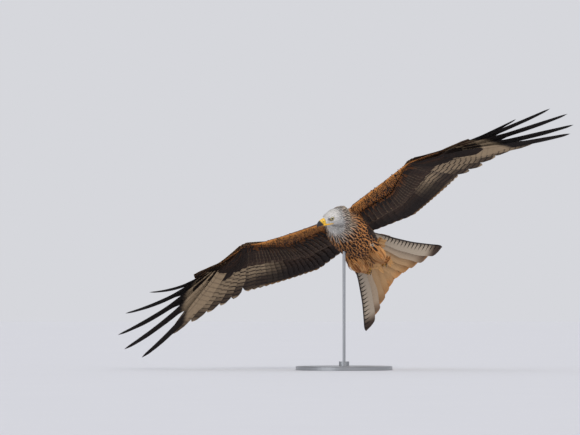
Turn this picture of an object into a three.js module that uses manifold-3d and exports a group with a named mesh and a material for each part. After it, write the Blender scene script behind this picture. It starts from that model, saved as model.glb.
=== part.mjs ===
// A red kite at life size, banking in flight with its head turned to its right,
// held over a round base by one upright rod. Millimetres, +Z up.
// The bird is built in its own axes (x forward, y to its left, z to its back)
// with the origin between the shoulders, and is then turned into its flight pose.
import * as THREE from "three";
import { mergeVertices } from "three/addons/utils/BufferGeometryUtils.js";
import Module from "manifold-3d";

const wasm = await Module();
wasm.setup();

// Gap kept between neighbouring pieces, and the thickness of a parting cut.
const GAP = 0.3;
const PARTING_CUT = 0.35;

// Stand.
const BASE_RADIUS = 150;
const BASE_HEIGHT = 12;
const BASE_EDGE = 2;
const COLLAR_RADIUS = 16;
const COLLAR_HEIGHT = 14;
const ROD_RADIUS = 4.5;
const ROD_REACH = 430;

// Flight pose: place of the point between the shoulders over the base, and the
// heading, pitch and bank of the body in degrees.
const BIRD_PLACE = [6, 5, 443];
const BIRD_TURN = { heading: -114.4, pitch: -21.5, bank: 28 };

// Torso, from the root of the tail to the root of the neck:
// [x, height of the axis, half width, reach above the axis, reach below it].
const TORSO = [
  [-206, -8, 22, 7, 13],
  [-170, -10, 38, 16, 29],
  [-128, -14, 51, 28, 43],
  [-85, -18, 60, 38, 53],
  [-42, -19, 63, 43, 58],
  [0, -15, 62, 50, 58],
  [34, -8, 58, 51, 54],
  [58, -3, 46, 42, 42],
  [72, -1, 32, 30, 28],
];
const TORSO_STEPS = 14;
const TORSO_SIDES = 22;

// Head: centre of the skull between the eyes, turned to the bird's right.
const HEAD_CENTRE = [97, -3, -5];
const HEAD_TURN = { heading: -53, pitch: 10, bank: -44 };
// Skull and bill along the head's own axis:
// [distance ahead of the centre, height, half width, above, below].
const SKULL = [
  [-36, 1, 12, 12, 13],
  [-27, 1, 22, 20, 23],
  [-12, 1.5, 27, 25, 27],
  [4, 1.5, 26.5, 24, 25],
  [16, 0.5, 23, 20.5, 20],
  [26, -2, 17.5, 16.5, 16],
  [34, -4, 12, 12.5, 12.5],
  [39, -4.5, 9, 10.6, 10.6],
];
const SKULL_STEPS = 12;
const SKULL_SIDES = 18;
// Bill: [ahead, height, half width, half depth], bending down to the hooked tip.
const BILL = [
  [32, -4, 11.2, 12],
  [40, -4.2, 9.2, 11.2],
  [47, -5, 7.4, 9.8],
  [53, -6.8, 5.6, 8],
  [57.5, -9, 4, 5.4],
  [60, -11.6, 2.5, 3.2],
  [60.6, -14.6, 0.8, 0.9],
];
const BILL_STEPS = 9;
const BILL_SIDES = 12;
const BILL_FACE = 35;
const CERE_LENGTH = 8.5;
// Line of the mouth from its corner to the front: [ahead, height].
const MOUTH = [
  [13, -14],
  [24, -13],
  [36, -12.6],
  [44, -12.9],
  [50, -14.2],
  [54.5, -18.5],
  [55.5, -30],
];
const MOUTH_OPENING = 0.5;
const NOSTRIL = { ahead: 40.5, side: 8.4, height: -1.4, long: 2.1, high: 1.1, deep: 2.4 };
const EYE = { ahead: 15.5, side: 17.2, height: 3.4, radius: 7 };
const LID = { ring: 6.1, tube: 1.15, out: 4.4 };
const BROW = { ahead: 15, side: 19.5, height: 10.2, long: 15, deep: 5.4, high: 3.2, droop: 14 };

// Neck, bending from the torso into the head: [x, y, z, radius].
const NECK_START = [34, 0, -4, 38];
const NECK_MIDDLE = [60, -5, -1, 47];
const NECK_TOP = { behind: -27, drop: -3, radius: 33 };
const NECK_TURN = 0.6;
const NECK_BEHIND_SKULL = -10;
const NECK_ROOT = 56;
const NECK_END_RADIUS = 27;
const NECK_STEPS = 7;
const NECK_SIDES = 20;

// Feathered thighs laid back along the belly: [x, y, z, radius].
const LEG = [
  [-60, 37, -52, 12],
  [-88, 38, -58, 22],
  [-120, 36, -56, 22],
  [-150, 32, -51, 18],
  [-174, 28, -45, 10],
];
const LEG_STEPS = 8;
const LEG_SIDES = 12;

// Feet, drawn up and half closed behind the thighs.
const FOOT = { x: -172, y: 27, z: -46, shank: 14, shankRadius: 4.6, toeRadius: 3.1 };
const TOES = [
  { spread: 26, length: 24, curl: 62 },
  { spread: 2, length: 28, curl: 58 },
  { spread: -22, length: 23, curl: 62 },
  { spread: 6, length: 15, curl: -70 },
];
const CLAW_LENGTH = 13;

// Wing bones, left side; the right wing has its own joints because the bird banks.
const WING = {
  left: {
    side: 1,
    shoulder: [15, 46, 12],
    elbow: [-8, 178, 34],
    wrist: [86, 290, 50],
    primaryAngles: [
      [25, 1], [34, 0], [43, 0], [52, -1], [60, -3.5],
      [64, -5], [65, -2], [66, 3], [67, 8], [68, 10],
    ],
    secondarySweep: [20, -2],
    secondaryRise: [1, 2],
    fingerBend: 4,
    patagium: [62, 81, 98, 62, 35],
  },
  right: {
    side: -1,
    shoulder: [15, -46, 12],
    elbow: [-12, -182, 30],
    wrist: [76, -308, 49],
    primaryAngles: [
      [33, -8], [41, -9], [49, -10], [57, -11], [65, -11.5],
      [71, -12.5], [77, -8], [79, -1.9], [78, 6.5], [83, 10.4],
    ],
    secondarySweep: [26, -2],
    secondaryRise: [-7, -3],
    fingerBend: 20,
    patagium: [52, 67, 86, 50, 27],
  },
};
const HAND_SWEEP = 6;
const HAND_DROOP = 6;

// Flight feathers: length of each primary from the innermost out, and the place
// of its root along the hand.
const PRIMARY_LENGTHS = [230, 242, 258, 288, 340, 438, 444, 426, 374, 256];
const PRIMARY_ROOTS = [14, 24, 34, 44, 54, 64, 74, 84, 92, 98];
const PRIMARY_WIDTHS = [46, 47, 48, 49, 50, 50, 49, 46, 41, 32];
const NOTCHED_FROM = 5;
const SECONDARIES = 13;
const SECONDARY_LENGTH = { outer: 222, inner: 186 };
const SECONDARY_WIDTH = 46;
const TERTIALS = 6;
const TERTIAL_LENGTH = { outer: 184, inner: 144 };
const TERTIAL_WIDTH = 48;
const TERTIAL_REACH = 0.95;

// Rows of coverts: their number, their height over the flight feathers, their
// length as a base and a share of the feather under them, and their width.
const WING_COVERTS = 10;
const WING_COVERT_LIFT = { above: 6, below: -6.4 };
const WING_COVERT_REACH = { base: 76, share: 0.1, width: 58 };
const TAIL_COVERTS = 6;
const TAIL_COVERT_LIFT = { above: 6.5, below: -7 };
const TAIL_COVERT_REACH = { base: 46, share: 0.2, width: 38 };

// Tail: six pairs of feathers, the outermost longest, spread as a shallow fork.
const TAIL_ROOT = [-125, 0, -4];
const TAIL_ROW = { inner: 4, step: 8, drop: 0.9 };
const TAIL_YAW = -2.5;
const TAIL_SPREAD = 23;
const TAIL_ROLL = 26;
const TAIL_DROOP = [-2, -5];
const TAIL_LENGTHS = [277, 283, 292, 305, 322, 346];
const TAIL_WIDTHS = [50, 50, 50, 50, 49, 46];
const TAIL_BOW = 11;

// Flat feathered base of the tail, as the torso's sections, from the tail's root.
const TAIL_STUMP = [
  [-126, -5, 34, 1.5, 1.5],
  [-108, -5, 58, 3, 4],
  [-80, -4.5, 66, 6, 9],
  [-50, -4, 64, 9, 11],
  [-15, -3, 46, 9, 10],
];
const TAIL_STUMP_STEPS = 8;
const TAIL_STUMP_SIDES = 16;

// Thickness of a vane near its root and near its tip, and its lean about its shaft.
const VANE_THICK = 0.85;
const VANE_THIN = 0.55;
const PRIMARY_LEAN = 7;
const SECONDARY_LEAN = 5.5;
const TAIL_LEAN = 4;
const COVERT_LEAN = 3;

// Outlines of the vanes: [share of the length, leading width, trailing width], the
// widths as shares of the feather's own.
const VANES = {
  finger: [
    [0, 0.08, 0.1], [0.1, 0.25, 0.5], [0.36, 0.25, 0.68], [0.52, 0.18, 0.36],
    [0.8, 0.16, 0.3], [0.95, 0.1, 0.16], [1, 0.03, 0.04],
  ],
  primary: [
    [0, 0.08, 0.1], [0.12, 0.34, 0.5], [0.62, 0.36, 0.62],
    [0.87, 0.3, 0.5], [0.97, 0.16, 0.26], [1, 0.06, 0.1],
  ],
  secondary: [
    [0, 0.1, 0.12], [0.16, 0.4, 0.48], [0.66, 0.42, 0.58],
    [0.9, 0.36, 0.48], [0.975, 0.2, 0.26], [1, 0.08, 0.1],
  ],
  tail: [
    [0, 0.08, 0.1], [0.2, 0.2, 0.44], [0.6, 0.18, 0.7],
    [0.93, 0.16, 0.76], [0.985, 0.1, 0.44], [1, 0.03, 0.2],
  ],
  covert: [[0.1, 0.4, 0.42], [0.75, 0.5, 0.52], [1, 0.2, 0.24]],
};

const FORWARD = new THREE.Vector3(1, 0, 0);
const LEFT = new THREE.Vector3(0, 1, 0);
const UP = new THREE.Vector3(0, 0, 1);
const rad = THREE.MathUtils.degToRad;
const vec = (x, y, z) => new THREE.Vector3(x, y, z);
const lerp = THREE.MathUtils.lerp;

// Turns closed geometry into a solid, whichever way round its faces run.
function solidOf(geometry) {
  const bare = geometry.clone();
  bare.deleteAttribute("normal");
  bare.deleteAttribute("uv");
  const merged = mergeVertices(bare, 1e-4);
  const triVerts = new Uint32Array(merged.index.array);
  const points = merged.attributes.position.array;
  let volume = 0;
  const [a, b, c] = [vec(), vec(), vec()];
  for (let i = 0; i < triVerts.length; i += 3) {
    a.fromArray(points, triVerts[i] * 3);
    b.fromArray(points, triVerts[i + 1] * 3);
    c.fromArray(points, triVerts[i + 2] * 3);
    volume += a.dot(b.cross(c));
  }
  if (volume < 0) {
    for (let i = 0; i < triVerts.length; i += 3) {
      [triVerts[i + 1], triVerts[i + 2]] = [triVerts[i + 2], triVerts[i + 1]];
    }
  }
  return new wasm.Manifold(new wasm.Mesh({ numProp: 3, vertProperties: points, triVerts }));
}

const union = (solids) => wasm.Manifold.union(solids);

// The biggest closed body of a solid, which leaves sealed hollows and scraps behind.
function largest(solid) {
  const bodies = solid.decompose();
  return bodies.reduce((best, body) => (body.volume() > best.volume() ? body : best));
}

function geometryOf(solid) {
  const mesh = solid.getMesh();
  const geometry = new THREE.BufferGeometry();
  geometry.setAttribute("position", new THREE.BufferAttribute(new Float32Array(mesh.vertProperties), 3));
  geometry.setIndex(new THREE.BufferAttribute(new Uint32Array(mesh.triVerts), 1));
  geometry.computeVertexNormals();
  return geometry;
}

const transformed = (solid, matrix) => solidOf(geometryOf(solid).applyMatrix4(matrix));

// Closed skin through a row of equal rings of points, with a fan over each end.
function loftSolid(rings) {
  const count = rings[0].length;
  const points = rings.flat().flatMap((p) => p.toArray());
  const index = [];
  for (let r = 0; r < rings.length - 1; r++) {
    for (let i = 0; i < count; i++) {
      const j = (i + 1) % count;
      const [p, q] = [r * count + i, r * count + j];
      index.push(p, q, q + count, p, q + count, p + count);
    }
  }
  for (const [first, flip] of [[0, true], [(rings.length - 1) * count, false]]) {
    for (let i = 1; i < count - 1; i++) {
      index.push(first, first + (flip ? i + 1 : i), first + (flip ? i : i + 1));
    }
  }
  const geometry = new THREE.BufferGeometry();
  geometry.setAttribute("position", new THREE.Float32BufferAttribute(points, 3));
  geometry.setIndex(index);
  return solidOf(geometry);
}

// Egg-shaped ring: half width to each side, its own reach above and below.
function eggRing(centre, side, up, halfWidth, above, below, count) {
  return Array.from({ length: count }, (_, i) => {
    const angle = (2 * Math.PI * i) / count;
    const reach = Math.sin(angle) > 0 ? above : below;
    return centre
      .clone()
      .addScaledVector(side, halfWidth * Math.cos(angle))
      .addScaledVector(up, reach * Math.sin(angle));
  });
}

// Smooth values between the rows of a table whose first column runs upwards.
function smoothRows(table, steps) {
  const size = table[0].length - 1;
  const keys = table.map((row) => row[0]);
  const values = new Float32Array(table.flatMap((row) => row.slice(1)));
  const curve = new THREE.CubicInterpolant(keys, values, size, new Float32Array(size));
  return Array.from({ length: steps + 1 }, (_, i) => {
    const key = lerp(keys[0], keys.at(-1), i / steps);
    return [key, ...curve.evaluate(key)];
  });
}

// Table of [place, height, half width, above, below] along a straight axis.
function straightLoft(table, steps, sides, grow, place) {
  const rings = smoothRows(table, steps).map(([x, z, halfWidth, above, below], i, all) => {
    const end = i === 0 ? -grow : i === all.length - 1 ? grow : 0;
    return eggRing(vec(x + end, 0, z), LEFT, UP, halfWidth + grow, above + grow, below + grow, sides);
  });
  return place ? loftSolid(rings.map((ring) => ring.map((p) => p.applyMatrix4(place)))) : loftSolid(rings);
}

// Round loft along a smooth path of [x, y, z, radius].
function pathLoft(points, steps, sides, grow, upper = UP) {
  const path = new THREE.CatmullRomCurve3(points.map(([x, y, z]) => vec(x, y, z)));
  const radii = new THREE.CatmullRomCurve3(points.map((p) => vec(p[3], 0, 0)));
  const rings = [];
  for (let i = 0; i <= steps; i++) {
    const along = path.getTangent(i / steps);
    const side = upper.clone().cross(along).normalize();
    const up = along.clone().cross(side);
    const end = i === 0 ? -grow : i === steps ? grow : 0;
    const centre = path.getPoint(i / steps).addScaledVector(along, end);
    const radius = radii.getPoint(i / steps).x + grow;
    rings.push(eggRing(centre, side, up, radius, radius, radius, sides));
  }
  return loftSolid(rings);
}

const turn = ({ heading, pitch, bank }) =>
  new THREE.Matrix4().makeRotationFromEuler(new THREE.Euler(rad(bank), rad(pitch), rad(heading), "ZYX"));

const headMatrix = turn(HEAD_TURN).setPosition(...HEAD_CENTRE);
const birdMatrix = turn(BIRD_TURN).setPosition(...BIRD_PLACE);
const inHead = (x, y, z) => vec(x, y, z).applyMatrix4(headMatrix);

// Flesh of the torso, neck and skull, grown by a margin on every side.
const torsoFlesh = (grow) => straightLoft(TORSO, TORSO_STEPS, TORSO_SIDES, grow);
const skullFlesh = (grow) => straightLoft(SKULL, SKULL_STEPS, SKULL_SIDES, grow, headMatrix);

// Neck whose rings turn evenly from the body's heading towards the head's.
function neckFlesh(grow) {
  const end = inHead(NECK_BEHIND_SKULL, 0, 0);
  const headForward = inHead(1, 0, 0).sub(inHead(0, 0, 0));
  const top = inHead(NECK_TOP.behind, 0, NECK_TOP.drop);
  const points = [
    NECK_START,
    NECK_MIDDLE,
    [...top.toArray(), NECK_TOP.radius],
    [...end.toArray(), NECK_END_RADIUS],
  ];
  const path = new THREE.CatmullRomCurve3(points.map(([x, y, z]) => vec(x, y, z)));
  const radii = new THREE.CatmullRomCurve3(points.map((p) => vec(p[3], 0, 0)));
  const rings = [];
  for (let i = 0; i <= NECK_STEPS; i++) {
    const share = i / NECK_STEPS;
    const along = FORWARD.clone().lerp(headForward, NECK_TURN * share).normalize();
    const side = UP.clone().cross(along).normalize();
    const up = along.clone().cross(side);
    const centre = path.getPoint(share).addScaledVector(along, i === NECK_STEPS ? grow : 0);
    const radius = radii.getPoint(share).x + grow;
    rings.push(eggRing(centre, side, up, radius, radius, radius, NECK_SIDES));
  }
  return loftSolid(rings);
}

function billFlesh(grow) {
  const path = new THREE.CatmullRomCurve3(BILL.map(([x, z]) => vec(x, 0, z)));
  const sizes = new THREE.CatmullRomCurve3(BILL.map(([, , width, depth]) => vec(width, depth, 0)));
  const rings = [];
  for (let i = 0; i <= BILL_STEPS; i++) {
    const share = i / BILL_STEPS;
    const along = path.getTangent(share);
    const up = along.clone().cross(LEFT);
    const size = sizes.getPoint(share);
    const depth = size.y + grow;
    rings.push(eggRing(path.getPoint(share), LEFT, up, size.x + grow, depth, depth, BILL_SIDES));
  }
  return loftSolid(rings.map((ring) => ring.map((p) => p.applyMatrix4(headMatrix))));
}

const flesh = (grow) => union([torsoFlesh(grow), neckFlesh(grow), skullFlesh(grow), billFlesh(grow)]);

// Flat disc that parts a body: centre, direction across the cut, radius.
function partingDisc(centre, across, radius, thickness = PARTING_CUT) {
  const disc = new THREE.CylinderGeometry(radius, radius, thickness, 24);
  const aim = new THREE.Quaternion().setFromUnitVectors(vec(0, 1, 0), across.clone().normalize());
  disc.applyQuaternion(aim);
  disc.translate(centre.x, centre.y, centre.z);
  return solidOf(disc);
}

// Half space ahead of a plane, as one big box.
function aheadOf(centre, across, size = 400) {
  const box = new THREE.BoxGeometry(size, size, size);
  box.translate(size / 2, 0, 0);
  box.applyQuaternion(new THREE.Quaternion().setFromUnitVectors(FORWARD, across.clone().normalize()));
  box.translate(centre.x, centre.y, centre.z);
  return solidOf(box);
}

const ahead = (solid, point, across) => solid.intersect(aheadOf(point, across));
const behind = (solid, point, across) => solid.intersect(aheadOf(point, across.clone().negate()));

function ballSolid(centre, radii, detail = 2, tilt = 0) {
  const ball = new THREE.IcosahedronGeometry(1, detail);
  ball.scale(...radii);
  ball.rotateY(tilt);
  ball.translate(centre[0], centre[1], centre[2]);
  ball.applyMatrix4(headMatrix);
  return solidOf(ball);
}

// Thin wall along the line of the mouth, right through the bill and skull's sides.
function mouthCut() {
  const half = MOUTH_OPENING / 2;
  const line = new THREE.SplineCurve(MOUTH.map(([x, z]) => new THREE.Vector2(x, z)));
  const steps = 14;
  const upper = [];
  const lower = [];
  for (let i = 0; i <= steps; i++) {
    const p = line.getPoint(i / steps);
    const t = line.getTangent(i / steps);
    upper.push(new THREE.Vector2(p.x - t.y * half, p.y + t.x * half));
    lower.unshift(new THREE.Vector2(p.x + t.y * half, p.y - t.x * half));
  }
  const width = 60;
  const wall = new THREE.ExtrudeGeometry(new THREE.Shape([...upper, ...lower]), {
    depth: width,
    bevelEnabled: false,
    steps: 1,
  });
  wall.rotateX(Math.PI / 2);
  wall.translate(0, width / 2, 0);
  wall.applyMatrix4(headMatrix);
  return solidOf(wall);
}

function eyeCentre(side, extra = 0) {
  return [EYE.ahead, side * (EYE.side + extra), EYE.height];
}

function lidSolid(side) {
  const ring = new THREE.TorusGeometry(LID.ring, LID.tube, 6, 16);
  ring.scale(1.12, 0.92, 1);
  ring.rotateX(Math.PI / 2);
  ring.rotateZ(rad(side * -14));
  ring.translate(...eyeCentre(side, LID.out));
  ring.applyMatrix4(headMatrix);
  return solidOf(ring);
}

// Skull with its brows and lids, hollowed for the eyes, and the bill parted from it.
function headPieces() {
  let head = union([skullFlesh(0), billFlesh(0)]);
  for (const side of [1, -1]) {
    const brow = [BROW.ahead, side * BROW.side, BROW.height];
    head = head.add(ballSolid(brow, [BROW.long, BROW.deep, BROW.high], 2, rad(BROW.droop)));
    head = head.add(lidSolid(side));
  }
  for (const side of [1, -1]) {
    const socket = EYE.radius + GAP;
    head = head.subtract(ballSolid(eyeCentre(side), [socket, socket, socket]));
    const nostril = [NOSTRIL.ahead, side * NOSTRIL.side, NOSTRIL.height];
    head = head.subtract(ballSolid(nostril, [NOSTRIL.long, NOSTRIL.deep, NOSTRIL.high], 1));
  }
  head = head.subtract(mouthCut());
  const billFace = inHead(BILL_FACE, 0, BILL[0][1]);
  const cereFace = inHead(BILL_FACE + CERE_LENGTH, 0, BILL[0][1]);
  const across = inHead(1, 0, 0).sub(inHead(0, 0, 0));
  head = head.subtract(partingDisc(billFace, across, 24));
  const bills = ahead(head, billFace, across).decompose();
  bills.sort((a, b) => b.volume() - a.volume());
  const upper = bills[0].subtract(partingDisc(cereFace, across, 24));
  return {
    head: largest(behind(head, billFace, across)),
    cere: largest(behind(upper, cereFace, across)),
    bill_upper: largest(ahead(upper, cereFace, across)),
    bill_lower: bills[1],
  };
}

// Torso and neck, parted at the root of the neck and hollowed for the back of the skull.
function trunkPieces() {
  const whole = union([torsoFlesh(0), neckFlesh(0)]).subtract(union([skullFlesh(GAP), billFlesh(GAP)]));
  const root = vec(NECK_ROOT, 0, 0);
  const trunk = whole.subtract(partingDisc(root, FORWARD, 90));
  return { torso: largest(behind(trunk, root, FORWARD)), neck: largest(ahead(trunk, root, FORWARD)) };
}

const eyeSolid = (side) => ballSolid(eyeCentre(side), [EYE.radius, EYE.radius, EYE.radius]);

function legSolid(side, grow) {
  return pathLoft(LEG.map(([x, y, z, radius]) => [x, side * y, z, radius]), LEG_STEPS, LEG_SIDES, grow);
}

// Shank with four toes, each bent down and ending in a hooked claw.
function footSolid(side, grow) {
  const ankle = vec(FOOT.x, side * FOOT.y, FOOT.z);
  const knuckles = vec(FOOT.x - FOOT.shank, side * FOOT.y, FOOT.z + 1);
  const pieces = [
    pathLoft(
      [
        [...ankle.toArray(), FOOT.shankRadius],
        [...knuckles.toArray(), FOOT.shankRadius],
        [knuckles.x - 4, knuckles.y, knuckles.z, 3.4],
      ],
      3, 8, grow,
    ),
  ];
  for (const { spread, length, curl } of TOES) {
    const bend = rad(curl);
    const out = rad(180 - side * spread);
    const points = [[knuckles.x + 2, knuckles.y, knuckles.z, FOOT.toeRadius]];
    const at = knuckles.clone();
    for (const [share, radius] of [[0.4, 1], [0.75, 0.86], [1, 0.7]]) {
      const turned = bend * share;
      const step = length * 0.36;
      at.x += Math.cos(out) * Math.cos(turned) * step;
      at.y += Math.sin(out) * Math.cos(turned) * step;
      at.z -= Math.sin(turned) * step;
      points.push([at.x, at.y, at.z, FOOT.toeRadius * radius]);
    }
    const clawTurn = bend * 1.9;
    at.x += Math.cos(out) * Math.cos(clawTurn) * CLAW_LENGTH;
    at.y += Math.sin(out) * Math.cos(clawTurn) * CLAW_LENGTH;
    at.z -= Math.sin(clawTurn) * CLAW_LENGTH;
    points.push([at.x, at.y, at.z, 0.5]);
    pieces.push(pathLoft(points, 5, 5, grow, vec(0.1, 1, 0.1).normalize()));
  }
  return union(pieces);
}

// Direction of a feather: swept out from straight back, and raised.
function featherAim(side, sweep, rise) {
  const [a, b] = [rad(sweep), rad(rise)];
  return vec(-Math.cos(a) * Math.cos(b), side * Math.sin(a) * Math.cos(b), Math.sin(b));
}

// Root, aim and size of every flight feather of one wing, from the tip inwards.
function wingFeathers(wing) {
  const { side, primaryAngles, secondarySweep, secondaryRise } = wing;
  const [shoulder, elbow, wrist] = [wing.shoulder, wing.elbow, wing.wrist].map((p) => vec(...p));
  const [sweep, droop] = [rad(HAND_SWEEP), rad(HAND_DROOP)];
  const hand = vec(
    -Math.sin(sweep) * Math.cos(droop),
    side * Math.cos(sweep) * Math.cos(droop),
    -Math.sin(droop),
  );
  const upperOf = (span) => {
    const normal = span.clone().cross(FORWARD).normalize();
    return normal.z < 0 ? normal.negate() : normal;
  };
  const [handUpper, forearmUpper, humerusUpper] = [
    upperOf(hand),
    upperOf(wrist.clone().sub(elbow)),
    upperOf(elbow.clone().sub(shoulder)),
  ];
  const feathers = [];
  for (let i = PRIMARY_LENGTHS.length - 1; i >= 0; i--) {
    feathers.push({
      kind: i >= NOTCHED_FROM ? "finger" : "primary",
      side,
      upper: handUpper,
      tilt: PRIMARY_LEAN,
      root: wrist.clone().addScaledVector(hand, PRIMARY_ROOTS[i]),
      aim: featherAim(side, ...primaryAngles[i]),
      length: PRIMARY_LENGTHS[i],
      width: PRIMARY_WIDTHS[i],
      bend: i >= NOTCHED_FROM ? wing.fingerBend : 0,
    });
  }
  for (let i = 0; i < SECONDARIES; i++) {
    const share = (i + 0.5) / SECONDARIES;
    feathers.push({
      kind: "secondary",
      side,
      upper: handUpper.clone().lerp(forearmUpper, Math.min(1, share * 3)).normalize(),
      tilt: SECONDARY_LEAN,
      root: wrist.clone().lerp(elbow, share),
      aim: featherAim(side, lerp(...secondarySweep, share), lerp(...secondaryRise, share)),
      length: lerp(SECONDARY_LENGTH.outer, SECONDARY_LENGTH.inner, share),
      width: SECONDARY_WIDTH,
    });
  }
  for (let i = 0; i < TERTIALS; i++) {
    const share = (i + 0.5) / TERTIALS;
    feathers.push({
      kind: "secondary",
      side,
      upper: forearmUpper.clone().lerp(humerusUpper, Math.min(1, share * 2)).normalize(),
      tilt: SECONDARY_LEAN,
      root: elbow.clone().lerp(shoulder, TERTIAL_REACH * share),
      aim: featherAim(side, secondarySweep[1] - 2 * share, secondaryRise[1] + share),
      length: lerp(TERTIAL_LENGTH.outer, TERTIAL_LENGTH.inner, share),
      width: TERTIAL_WIDTH,
    });
  }
  return feathers;
}

// Fleshy arm of the wing: leading edge, rear edge and thickness from the body out.
function armSolid(wing) {
  const { side } = wing;
  const [shoulder, elbow, wrist] = [wing.shoulder, wing.elbow, wing.wrist].map((p) => vec(...p));
  const tip = wingFeathers(wing)[0].root;
  const stations = [
    { mid: vec(15, side * 12, 8), lead: 40, rear: 92, thick: 30 },
    { mid: shoulder, lead: wing.patagium[0], rear: 90, thick: 30 },
    { mid: shoulder.clone().lerp(elbow, 0.5), lead: wing.patagium[1], rear: 66, thick: 24 },
    { mid: elbow, lead: wing.patagium[2], rear: 46, thick: 20 },
    { mid: elbow.clone().lerp(wrist, 0.45), lead: wing.patagium[3], rear: 44, thick: 17 },
    { mid: elbow.clone().lerp(wrist, 0.8), lead: wing.patagium[4], rear: 42, thick: 15 },
    { mid: wrist, lead: 11.5, rear: 42, thick: 13.5 },
    { mid: wrist.clone().lerp(tip, 0.5), lead: 16, rear: 34, thick: 10 },
    { mid: tip, lead: 14, rear: 20, thick: 6.5 },
    { mid: tip.clone().add(vec(-3, side * 12, -1)), lead: 8, rear: 6, thick: 3 },
  ];
  const profile = [
    [0, 0], [0.08, 0.34], [0.28, 0.5], [0.6, 0.36], [0.88, 0.16],
    [1, 0], [0.88, -0.16], [0.6, -0.34], [0.28, -0.42], [0.08, -0.28],
  ];
  const rings = stations.map(({ mid, lead, rear, thick }) =>
    profile.map(([back, high]) => vec(mid.x + lead - back * (lead + rear), mid.y, mid.z + high * thick)),
  );
  return loftSolid(rings);
}

// Frame of one feather: along its shaft, out to its leading side, and up from its flat,
// leaning so that the leading edge rides over the next feather out.
function featherFrame({ aim, side, upper = UP, tilt = 0 }) {
  const along = aim.clone().normalize();
  const out = along.clone().cross(upper).multiplyScalar(side).normalize();
  const up = along.clone().cross(out).normalize();
  if (up.dot(upper) < 0) up.negate();
  const lean = rad(tilt);
  return {
    along,
    leading: out.clone().multiplyScalar(Math.cos(lean)).addScaledVector(up, Math.sin(lean)),
    flat: up.clone().multiplyScalar(Math.cos(lean)).addScaledVector(out, -Math.sin(lean)),
  };
}

// One feather: a thin plate that narrows to its root and tip, sags by its bend
// and bows inwards, with its edges at the widths of its kind.
function vaneSolid(feather) {
  const { kind, root, length, width, bend = 0, bow = 0 } = feather;
  const { along, leading, flat } = featherFrame(feather);
  const rings = VANES[kind].map(([share, lead, trail]) => {
    const arch = 4 * share * (1 - share);
    const shaft = root
      .clone()
      .addScaledVector(along, length * share)
      .addScaledVector(flat, -bend * arch)
      .addScaledVector(leading, -bow * arch);
    const half = lerp(VANE_THICK, VANE_THIN, share) / 2;
    const front = shaft.clone().addScaledVector(leading, lead * width);
    const back = shaft.clone().addScaledVector(leading, -trail * width);
    return [[front, half], [back, half], [back, -half], [front, -half]].map(([edge, rise]) =>
      edge.clone().addScaledVector(flat, rise),
    );
  });
  return sheetSolid(rings, 2);
}

// A feather between two neighbours of a row, at a fractional place along it.
function between(feathers, place) {
  const first = Math.min(Math.floor(place), feathers.length - 2);
  const share = place - first;
  const [a, b] = [feathers[first], feathers[first + 1]];
  return {
    side: a.side,
    tilt: COVERT_LEAN,
    upper: a.upper.clone().lerp(b.upper, share).normalize(),
    root: a.root.clone().lerp(b.root, share),
    aim: a.aim.clone().lerp(b.aim, share).normalize(),
    length: lerp(a.length, b.length, share),
  };
}

// Row of coverts that lies over the bases of the flight feathers or under them.
function covertRow(feathers, count, lift, reach) {
  return Array.from({ length: count }, (_, i) => {
    const feather = between(feathers, ((feathers.length - 1) * (i + 0.5)) / count);
    const covert = {
      ...feather,
      kind: "covert",
      root: feather.root.clone().addScaledVector(feather.upper, lift),
      length: reach.base + reach.share * feather.length,
      width: reach.width,
    };
    return vaneSolid(covert);
  });
}

// Closed sheet from rings that run out on the upper face and back on the lower one,
// with both faces split into the same triangles.
function sheetSolid(rings, columns) {
  const count = rings[0].length;
  const points = rings.flat().flatMap((p) => p.toArray());
  const index = [];
  const quad = (a, b, c, d) => index.push(a, b, c, a, c, d);
  const under = (column) => count - 1 - column;
  for (let r = 0; r < rings.length - 1; r++) {
    const [here, next] = [r * count, (r + 1) * count];
    for (let c = 0; c < columns - 1; c++) {
      quad(here + c, here + c + 1, next + c + 1, next + c);
      index.push(here + under(c), next + under(c + 1), here + under(c + 1));
      index.push(here + under(c), next + under(c), next + under(c + 1));
    }
    quad(here, next, next + under(0), here + under(0));
    const last = columns - 1;
    quad(here + last, here + under(last), next + under(last), next + last);
  }
  for (const [ring, flip] of [[0, false], [(rings.length - 1) * count, true]]) {
    for (let c = 0; c < columns - 1; c++) {
      const corners = [ring + c, ring + under(c), ring + under(c + 1), ring + c + 1];
      if (flip) corners.reverse();
      quad(...corners);
    }
  }
  const geometry = new THREE.BufferGeometry();
  geometry.setAttribute("position", new THREE.Float32BufferAttribute(points, 3));
  geometry.setIndex(index);
  return solidOf(geometry);
}

// Six pairs of tail feathers, from the outer left to the outer right.
function tailFeathers() {
  const feathers = [];
  const pairs = TAIL_LENGTHS.length;
  const rolled = new THREE.Quaternion().setFromAxisAngle(FORWARD, rad(TAIL_ROLL));
  for (let i = 0; i < 2 * pairs; i++) {
    const side = i < pairs ? 1 : -1;
    const rank = side > 0 ? pairs - 1 - i : i - pairs;
    const share = (rank + 0.5) / (pairs - 0.5);
    const sweep = side * TAIL_SPREAD * share + TAIL_YAW;
    const aim = featherAim(1, sweep, lerp(...TAIL_DROOP, share * share)).applyQuaternion(rolled);
    const root = vec(0, side * (TAIL_ROW.inner + TAIL_ROW.step * rank), -TAIL_ROW.drop * rank)
      .applyQuaternion(rolled)
      .add(vec(...TAIL_ROOT));
    feathers.push({
      kind: "tail",
      side,
      upper: UP.clone().applyQuaternion(rolled),
      tilt: TAIL_LEAN,
      root,
      aim,
      length: TAIL_LENGTHS[rank],
      width: TAIL_WIDTHS[rank],
      bow: TAIL_BOW * share,
    });
  }
  return feathers;
}

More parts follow.
